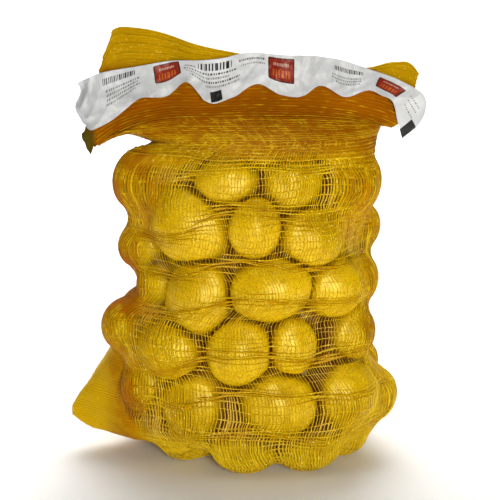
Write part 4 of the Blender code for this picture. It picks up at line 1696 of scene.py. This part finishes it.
    def strand_piece(
        self, name: str, first: int, last: int, wales: Rows, parts: int, material: Material
    ) -> Piece:
        """Strands between two ribs.

        Args:
            name: the piece's name.
            first: the lowest rib's number.
            last: the highest rib's number.
            wales: which strands.
            parts: the number of straight parts between ribs.
            material: the net's material.

        Returns:
            The piece.
        """
        rows, turns = [], []
        for number in range(first, last):
            low_turn, high_turn = self.strand_turn(number, wales), self.strand_turn(number + 1, wales)
            low_row, high_row = self.course_row(number, low_turn), self.course_row(number + 1, high_turn)
            for part in range(parts):
                rows.append(low_row + (high_row - low_row) * part / parts)
                turns.append(low_turn + (high_turn - low_turn) * part / parts)
        rows.append(high_row)
        turns.append(high_turn)
        lift = self.strand_lift if parts > 1 else 0.0
        return self.piece(name, np.array(rows).T, np.array(turns).T, lift, self.strand, False, material)

    def sheet_piece(self, name: str, material: Material) -> Piece:
        """The slack net of the neck, so close that it is a sheet, as a thin closed wall."""
        front = self.sheet.points[:, self.sheet.columns * 3 // 4, 2]
        first = int(np.argmax(front > self.sheet_from))
        outer = self.sheet.points[first:] - self.sheet.normals[first:] * self.sheet_inset
        inner = outer - self.sheet.normals[first:] * self.sheet_wall
        rows, around = outer.shape[:2]
        ring = np.arange(around)
        after = np.roll(ring, -1)
        points = np.concatenate((outer.reshape(-1, 3), inner.reshape(-1, 3)))
        up, down = range(rows), reversed(range(rows, 2 * rows))
        order = [row * around for row in (*up, *down, 0)]
        faces = []
        for low, high in zip(order, order[1:]):
            faces.append(np.stack((low + ring, low + after, high + after, high + ring), -1))
        return evenly(mesh_piece(name, points, faces, material), 1.0, self.sheet_tone)

    def build(self, net: Material, close_net: Material) -> list[Piece]:
        """All the netting, in pieces for the belly, the neck and what lies under the sack."""
        count = len(self.courses)
        neck, under = (int(np.argmax(self.heights > height)) for height in (self.neck_start, self.under_end))
        sheet = int(np.argmax(self.heights > self.sheet_from + self.sheet_overlap))
        every = np.arange(self.wales)
        log.info("courses %d, neck from %d, under to %d", count, neck, under)
        return [
            self.rib_piece("net_ribs_low", 0, neck // 2, self.rib, self.rib_lift, net),
            self.rib_piece("net_ribs_high", neck // 2, neck, self.rib, self.rib_lift, net),
            self.rib_piece("net_ribs_neck", neck, count, self.neck_rib, self.neck_rib_lift, net),
            self.strand_piece("net_strands_under", 0, under, every[::2], 2, net),
            self.strand_piece("net_strands_body", under, neck, every, 2, net),
            self.strand_piece("net_strands_neck", neck, sheet, every, 1, net),
            self.sheet_piece("net_neck", close_net),
        ]


@dataclass
class EmptyCorner:
    """The bottom corner that no potato fills: a pocket that opens from its tip towards the body."""

    # x, lowest, highest, half thickness
    sections: tuple = (
        (-155, 29.5, 38, 1.5),
        (-148, 24.5, 50, 5),
        (-140, 20, 60.5, 9.5),
        (-132, 17.5, 73.5, 14.5),
        (-125, 16.4, 84, 19),
        (-116, 14.3, 98, 26),
        (-107, 13, 102, 32.5),
        (-98, 12, 104, 37),
        (-88, 12, 104, 38),
    )
    y: float = -6 * MM
    squareness: float = 3
    around: int = 72
    columns: int = 60
    pitch: float = 2.5 * MM
    pitch_jitter: float = 0.12
    least_points: int = 6
    lift: float = 0.15 * MM
    rib: Thread = Thread(0.34 * MM, 0.22 * MM, 4)
    # a soft ripple: its height, its waves up and across, and how far from the tip it is full
    ripple: float = 0.9 * MM
    ripple_rates: tuple = (170.0, 120.0)
    ripple_full: float = 9 * MM
    slack: float = 0.30
    skin_tone: float = 0.1
    rib_tone: float = 0.6
    seed: int = 5

    def skin_points(self) -> Rows:
        """The pocket's rings from its tip into the body."""
        tip, root = mm([self.sections[0][0], self.sections[-1][0]])
        x = np.linspace(tip, root, self.columns)
        low, high, half = np.moveaxis(along(self.sections, x), -1, 0)
        turns = ring_turns(self.around)
        back, up = np.cos(turns), np.sin(turns)
        size = (np.abs(back) ** self.squareness + np.abs(up) ** self.squareness) ** (-1 / self.squareness)
        x, low, high, half = (each[:, None] for each in (x, low, high, half))
        z = (low + high) / 2 + (high - low) / 2 * up * size
        by_height, by_place = self.ripple_rates
        ripple = self.ripple * np.sin(z * by_height + x * by_place) * ease(x, tip, tip + self.ripple_full)
        return np.stack((np.broadcast_to(x, z.shape), self.y + half * back * size + ripple, z), -1)

    def rib_paths(self, skin: Rows) -> list[Rows]:
        """Level ribs over the front, round the pocket's edge and over its back."""
        paths = []
        chance = random.Random(self.seed)
        low, high = (self.sections[-1][column] * MM for column in (1, 2))
        at = low + self.pitch
        while at < high - self.pitch:
            path = []
            for back in (False, True):
                side = self.side(skin, back)
                line = []
                for ring in side:
                    if ring[0, 2] <= at <= ring[-1, 2]:
                        line.append([np.interp(at, ring[:, 2], ring[:, axis]) for axis in range(3)])
                path += line if back else line[::-1]
            if len(path) > self.least_points:
                paths.append(np.array(path))
            at += self.pitch * (1 + chance.uniform(-self.pitch_jitter, self.pitch_jitter))
        return paths

    def side(self, skin: Rows, back: bool) -> Rows:
        """The front or the back of each ring, from its lowest point to its highest."""
        quarter = self.around // 4
        order = np.arange(-quarter, quarter + 1) if back else np.arange(3 * quarter, quarter - 1, -1)
        return skin[:, order]

    def build(self, material: Material) -> list[Piece]:
        """The pocket's skin and its ribs."""
        skin = self.skin_points()
        pocket = closed_piece("net_corner", skin, material)
        points, faces, first = [], [], 0
        for path in self.rib_paths(skin):
            out = np.zeros_like(path)
            out[:, 1] = np.sign(path[:, 1] - self.y)
            lifted, widths = path + out * self.lift, np.ones((1, len(path)))
            made, corners = threads(lifted[None], out[None], widths, self.rib, False)
            points.append(made)
            faces += [each + first for each in corners]
            first += len(made)
        ribs = mesh_piece("net_corner_ribs", np.concatenate(points), faces, material)
        return [evenly(pocket, self.slack, self.skin_tone), evenly(ribs, self.slack, self.rib_tone)]


@dataclass
class TailHem:
    """The twisted end of the hem that hangs under the left end of the film band."""

    # x, y, z, half width, half thickness
    sections: tuple = (
        (-129, -2, 287, 5.5, 1.6),
        (-131, -3, 280, 5.8, 2.0),
        (-133, -4, 275, 6.4, 2.4),
        (-133, -4, 270.5, 5.2, 2.2),
        (-133, -4, 265.5, 3.0, 1.8),
        (-132.5, -4, 260, 0.9, 0.8),
    )
    around: int = 20
    rows: int = 26
    crease: float = 0.18
    twist: float = 0.8 * MM
    tone: float = -0.5

    def build(self, material: Material) -> Piece:
        """The tail as one closed piece."""
        keyed = [(number,) + row for number, row in enumerate(self.sections)]
        places = np.linspace(0, (len(self.sections) - 1) * MM, self.rows)
        x, y, z, wide, thick = np.moveaxis(along(keyed, places), -1, 0)
        turns = ring_turns(self.around)
        crease = 1 + self.crease * np.sin(3 * turns + 1)
        px = x[:, None] + wide[:, None] * np.cos(turns)
        py = y[:, None] + thick[:, None] * np.sin(turns) * crease
        pz = z[:, None] + self.twist * np.sin(2 * turns + 4 * places[:, None] / MM)
        return evenly(closed_piece("net_tail", np.stack((px, py, pz), -1), material), 1.0, self.tone)


@dataclass
class FilmBand:
    """The printed film across the neck, with puckers along its free lower edge."""

    form: SackForm
    top: tuple = (
        (-145, -145, 317),
        (-126, -126, 325),
        (-96, -96, 331),
        (-66, -66, 336),
        (-20, -20, 339),
        (-6, -6, 342),
        (26, 26, 341),
        (76, 76, 337),
        (98, 98, 329.5),
        (120, 126, 318.5),
        (134, 141, 310),
        (146, 147, 300),
    )
    low: tuple = (
        (-145, -140, 284),
        (-134, -134, 280),
        (-116, -116, 286.5),
        (-102, -102, 297),
        (-92, -92, 305.5),
        (-66, -66, 309),
        (-52, -52, 320),
        (-34, -34, 304),
        (-14, -14, 307),
        (6, 6, 317.5),
        (26, 26, 309),
        (44, 44, 308.5),
        (55, 55, 316.5),
        (78, 78, 308),
        (98, 97, 313.5),
        (112, 107, 309),
        (124, 117, 303),
        (136, 122, 286),
        (146, 127, 271),
    )
    thickness: float = 0.3 * MM
    gap: float = 3.2 * MM
    end_curl: float = 14 * MM
    left_curl: float = 30 * MM
    right_curl: float = 18 * MM
    pucker: float = 7 * MM
    pucker_least: float = 0.35
    pucker_length: float = 46 * MM
    pucker_start: float = -12 * MM
    pucker_bend: float = 1.5
    lies_from: float = 306 * MM
    # how long the folded ends are and how far their edges wave
    left_end: float = 24 * MM
    right_end: float = 16 * MM
    left_wave: float = 3.4 * MM
    left_phase: float = 2.6
    right_wave: float = 5 * MM
    columns: int = 380
    rows: int = 44
    # turn in the film, waves a metre, height
    creases: tuple = (
        (12, 190, 0.55),
        (-28, 260, 0.42),
        (64, 150, 0.40),
        (-71, 330, 0.30),
        (38, 420, 0.24),
        (-8, 95, 0.70),
    )
    crease_level: float = 0.6
    # how creases bend: by how much, then size and rates along each crease and over the film
    crease_bend: float = 2.2
    bend_along: tuple = (0.9, 61)
    bend_over: tuple = (0.7, 37, -83)
    # how deep they are: everywhere, more at the lower edge, more at the ends
    crease_depths: tuple = (1.2, 0.9, 2.0)

    def point(self, place: Rows, height: Rows) -> Rows:
        """A point of the film at this place along it and this height from 0, its lower edge, to 1."""
        top, low = along(self.top, place), along(self.low, place)
        x, z = np.moveaxis(low + (top - low) * height[..., None], -1, 0)
        y = self.form.neck_front(x, np.maximum(z, self.lies_from)) - self.gap
        wave = 0.5 - 0.5 * np.cos(2 * math.pi * (place - self.pucker_start) / self.pucker_length)
        depth = self.pucker_least + (1 - self.pucker_least) * wave
        y = y - self.pucker * (1 - height) ** self.pucker_bend * depth
        first, last = self.top[0][0] * MM, self.top[-1][0] * MM
        past = np.maximum((first - place) / self.left_curl, (place - last) / self.right_curl) + 1
        y = y + self.end_curl * np.maximum(past, 0) ** 2
        left = ease(place, first + self.left_end, first)
        right = ease(place, last - self.right_end, last)
        x = x + right * self.right_wave * np.sin(math.pi * height)
        x = x + left * self.left_wave * np.sin(2 * math.pi * height + self.left_phase)
        return np.stack((x, y - self.crumple(place, z, height, left + right), z), -1)

    def crumple(self, place: Rows, z: Rows, height: Rows, ends: Rows) -> Rows:
        """How far creases lift the film, most at its free lower edge and its ends.

        Args:
            place: the places along the film.
            z: their heights above the floor.
            height: their heights in the film, from 0 to 1.
            ends: how near they are to the film's ends, from 0 to 1.

        Returns:
            The lift at each place.
        """
        total = np.zeros_like(place)
        along_size, by_way = self.bend_along
        over_size, by_place, by_height = self.bend_over
        for turn, waves, size in self.creases:
            way = place * math.cos(math.radians(turn)) + z * math.sin(math.radians(turn))
            bend = along_size * np.sin(way * by_way + turn)
            bend = bend + over_size * np.sin(place * by_place + z * by_height + waves)
            ridge = np.abs(np.sin(way * waves + bend * self.crease_bend))
            total = total + size * MM * (self.crease_level - ridge)
        everywhere, lower, outer = self.crease_depths
        return total * (everywhere + lower * (1 - height) + outer * np.minimum(ends, 1))

    def build(self, material: Material) -> Piece:
        """The band as a thin closed piece with its own UV map."""
        deselect()
        bpy.ops.mesh.primitive_grid_add(x_subdivisions=self.columns, y_subdivisions=self.rows, size=2)
        piece = bpy.context.object
        piece.name = "film_band"
        piece.data.uv_layers[0].name = "band"
        flat = np.array([vert.co for vert in piece.data.vertices])
        first, last = self.top[0][0] * MM, self.top[-1][0] * MM
        place = first + (flat[:, 0] + 1) / 2 * (last - first)
        points = self.point(place, (flat[:, 1] + 1) / 2)
        piece.data.vertices.foreach_set("co", points.astype(np.float32).ravel())
        bpy.ops.object.mode_set(mode="EDIT")
        bpy.ops.mesh.select_all(action="SELECT")
        bpy.ops.mesh.flip_normals()
        bpy.ops.object.mode_set(mode="OBJECT")
        wall = piece.modifiers.new("wall", "SOLIDIFY")
        wall.thickness = self.thickness
        wall.offset = 0
        bpy.ops.object.modifier_apply(modifier=wall.name)
        piece.data.shade_smooth()
        piece.data.materials.clear()
        piece.data.materials.append(material)
        return piece


@dataclass(frozen=True)
class Lamp:
    """A soft light: its place, what it faces, its width and height, its power and its colour."""

    name: str
    place: tuple
    aim: tuple
    size: tuple[float, float]
    power: float
    colour: Colour = (1, 1, 1)


@dataclass
class Studio:
    """A pale sweep, soft lights and the camera."""

    distance: float = 1.05
    elevation: float = 14.0
    aim: float = 176 * MM
    lens: float = 88.9
    sensor: float = 36
    floor_size: tuple = (9, 6, 1)
    wall_height: float = 4
    sweep: float = 1.4
    sweep_segments: int = 24
    room_light: float = 0.08
    lamps: tuple = (
        Lamp("key", (0.24, -1.25, 0.38), (0, 0, 0.17), (0.34, 0.60), 9.9, (1.0, 0.965, 0.86)),
        Lamp("over", (0, 0.2, 1.9), (0, 0.3, 0.0), (1.6, 1.6), 10),
        Lamp("backdrop_wash", (0, 2.0, 2.3), (0, 1.9, 0.0), (2.4, 2.4), 110),
    )

    def floor(self, material: Material) -> Piece:
        """A floor that sweeps up into a backdrop."""
        deselect()
        bpy.ops.mesh.primitive_plane_add(size=1)
        floor = bpy.context.object
        floor.name = "floor"
        bpy.ops.object.mode_set(mode="EDIT")
        bpy.ops.mesh.select_all(action="SELECT")
        bpy.ops.transform.resize(value=self.floor_size)
        bpy.ops.mesh.select_all(action="DESELECT")
        bpy.ops.object.mode_set(mode="OBJECT")
        for edge in floor.data.edges:
            edge.select = all(floor.data.vertices[v].co.y > 0 for v in edge.vertices)
        bpy.ops.object.mode_set(mode="EDIT")
        bpy.ops.mesh.select_mode(type="EDGE")
        bpy.ops.mesh.extrude_region_move(TRANSFORM_OT_translate={"value": (0, 0, self.wall_height)})
        bpy.ops.object.mode_set(mode="OBJECT")
        bend = floor.modifiers.new("bend", "BEVEL")
        bend.width = self.sweep
        bend.segments = self.sweep_segments
        bpy.ops.object.modifier_apply(modifier=bend.name)
        floor.data.shade_smooth()
        floor.data.materials.append(material)
        return floor

    def light(self, lamp: Lamp) -> None:
        """Hangs the lamp at its place, turned to its aim."""
        data = bpy.data.lights.new(lamp.name, "AREA")
        data.shape = "RECTANGLE"
        data.size, data.size_y = lamp.size
        data.energy = lamp.power
        data.color = lamp.colour
        hung = bpy.data.objects.new(lamp.name, data)
        hung.location = lamp.place
        hung.rotation_euler = self.look(np.array(lamp.aim) - np.array(lamp.place))
        bpy.context.scene.collection.objects.link(hung)

    @staticmethod
    def look(way: Rows) -> tuple[float, float, float]:
        """The turn of a camera or lamp that faces this way, upright."""
        flat = math.hypot(way[0], way[1])
        return (math.pi / 2 + math.atan2(way[2], flat), 0, math.atan2(-way[0], way[1]))

    def camera(self) -> None:
        """The camera, in front of the sack and a little above it."""
        data = bpy.data.cameras.new("camera")
        data.lens = self.lens
        data.sensor_width = self.sensor
        camera = bpy.data.objects.new("camera", data)
        rise = math.radians(self.elevation)
        camera.location = (0, -self.distance * math.cos(rise), self.aim + self.distance * math.sin(rise))
        camera.rotation_euler = self.look(np.array((0, math.cos(rise), -math.sin(rise))))
        bpy.context.scene.collection.objects.link(camera)
        bpy.context.scene.camera = camera

    def build(self) -> None:
        """The whole studio."""
        self.camera()
        self.floor(FloorFinish().material())
        for lamp in self.lamps:
            self.light(lamp)
        world = bpy.data.worlds.new("room")
        world.use_nodes = True
        background = world.node_tree.nodes["Background"]
        background.inputs["Color"].default_value = (1, 1, 1, 1)
        background.inputs["Strength"].default_value = self.room_light
        bpy.context.scene.world = world
        view = bpy.context.scene.view_settings
        view.view_transform = "Standard"
        view.look = "None"


def main() -> None:
    """Builds the sack's pieces and the studio."""
    logging.basicConfig(level=logging.INFO, format="%(message)s")
    form = SackForm()
    sheet = NetSheet(form, form.potatoes())
    skin, net, film = SkinFinish().material(), NetFinish().material(), FilmFinish().material()
    close_net = NetFinish(
        name="close_net",
        roughness=0.6,
        gloss=0.12,
        grain=900.0,
        grain_relief=0.8,
        course_share=0.35,
        painted_glint_share=0.3,
    ).material()
    potatoes = Potatoes(sheet)
    seat(potatoes.build(skin), Slot.NET, "net_bag")
    for piece in Netting(sheet, potatoes.skin).build(net, close_net) + EmptyCorner().build(close_net):
        seat(piece, Slot.NET, "net_bag")
    seat(TailHem().build(close_net), Slot.NET, "net_bag")
    seat(FilmBand(form).build(film), Slot.FILM, "label_band")
    Studio().build()


if __name__ == "__main__":
    main()
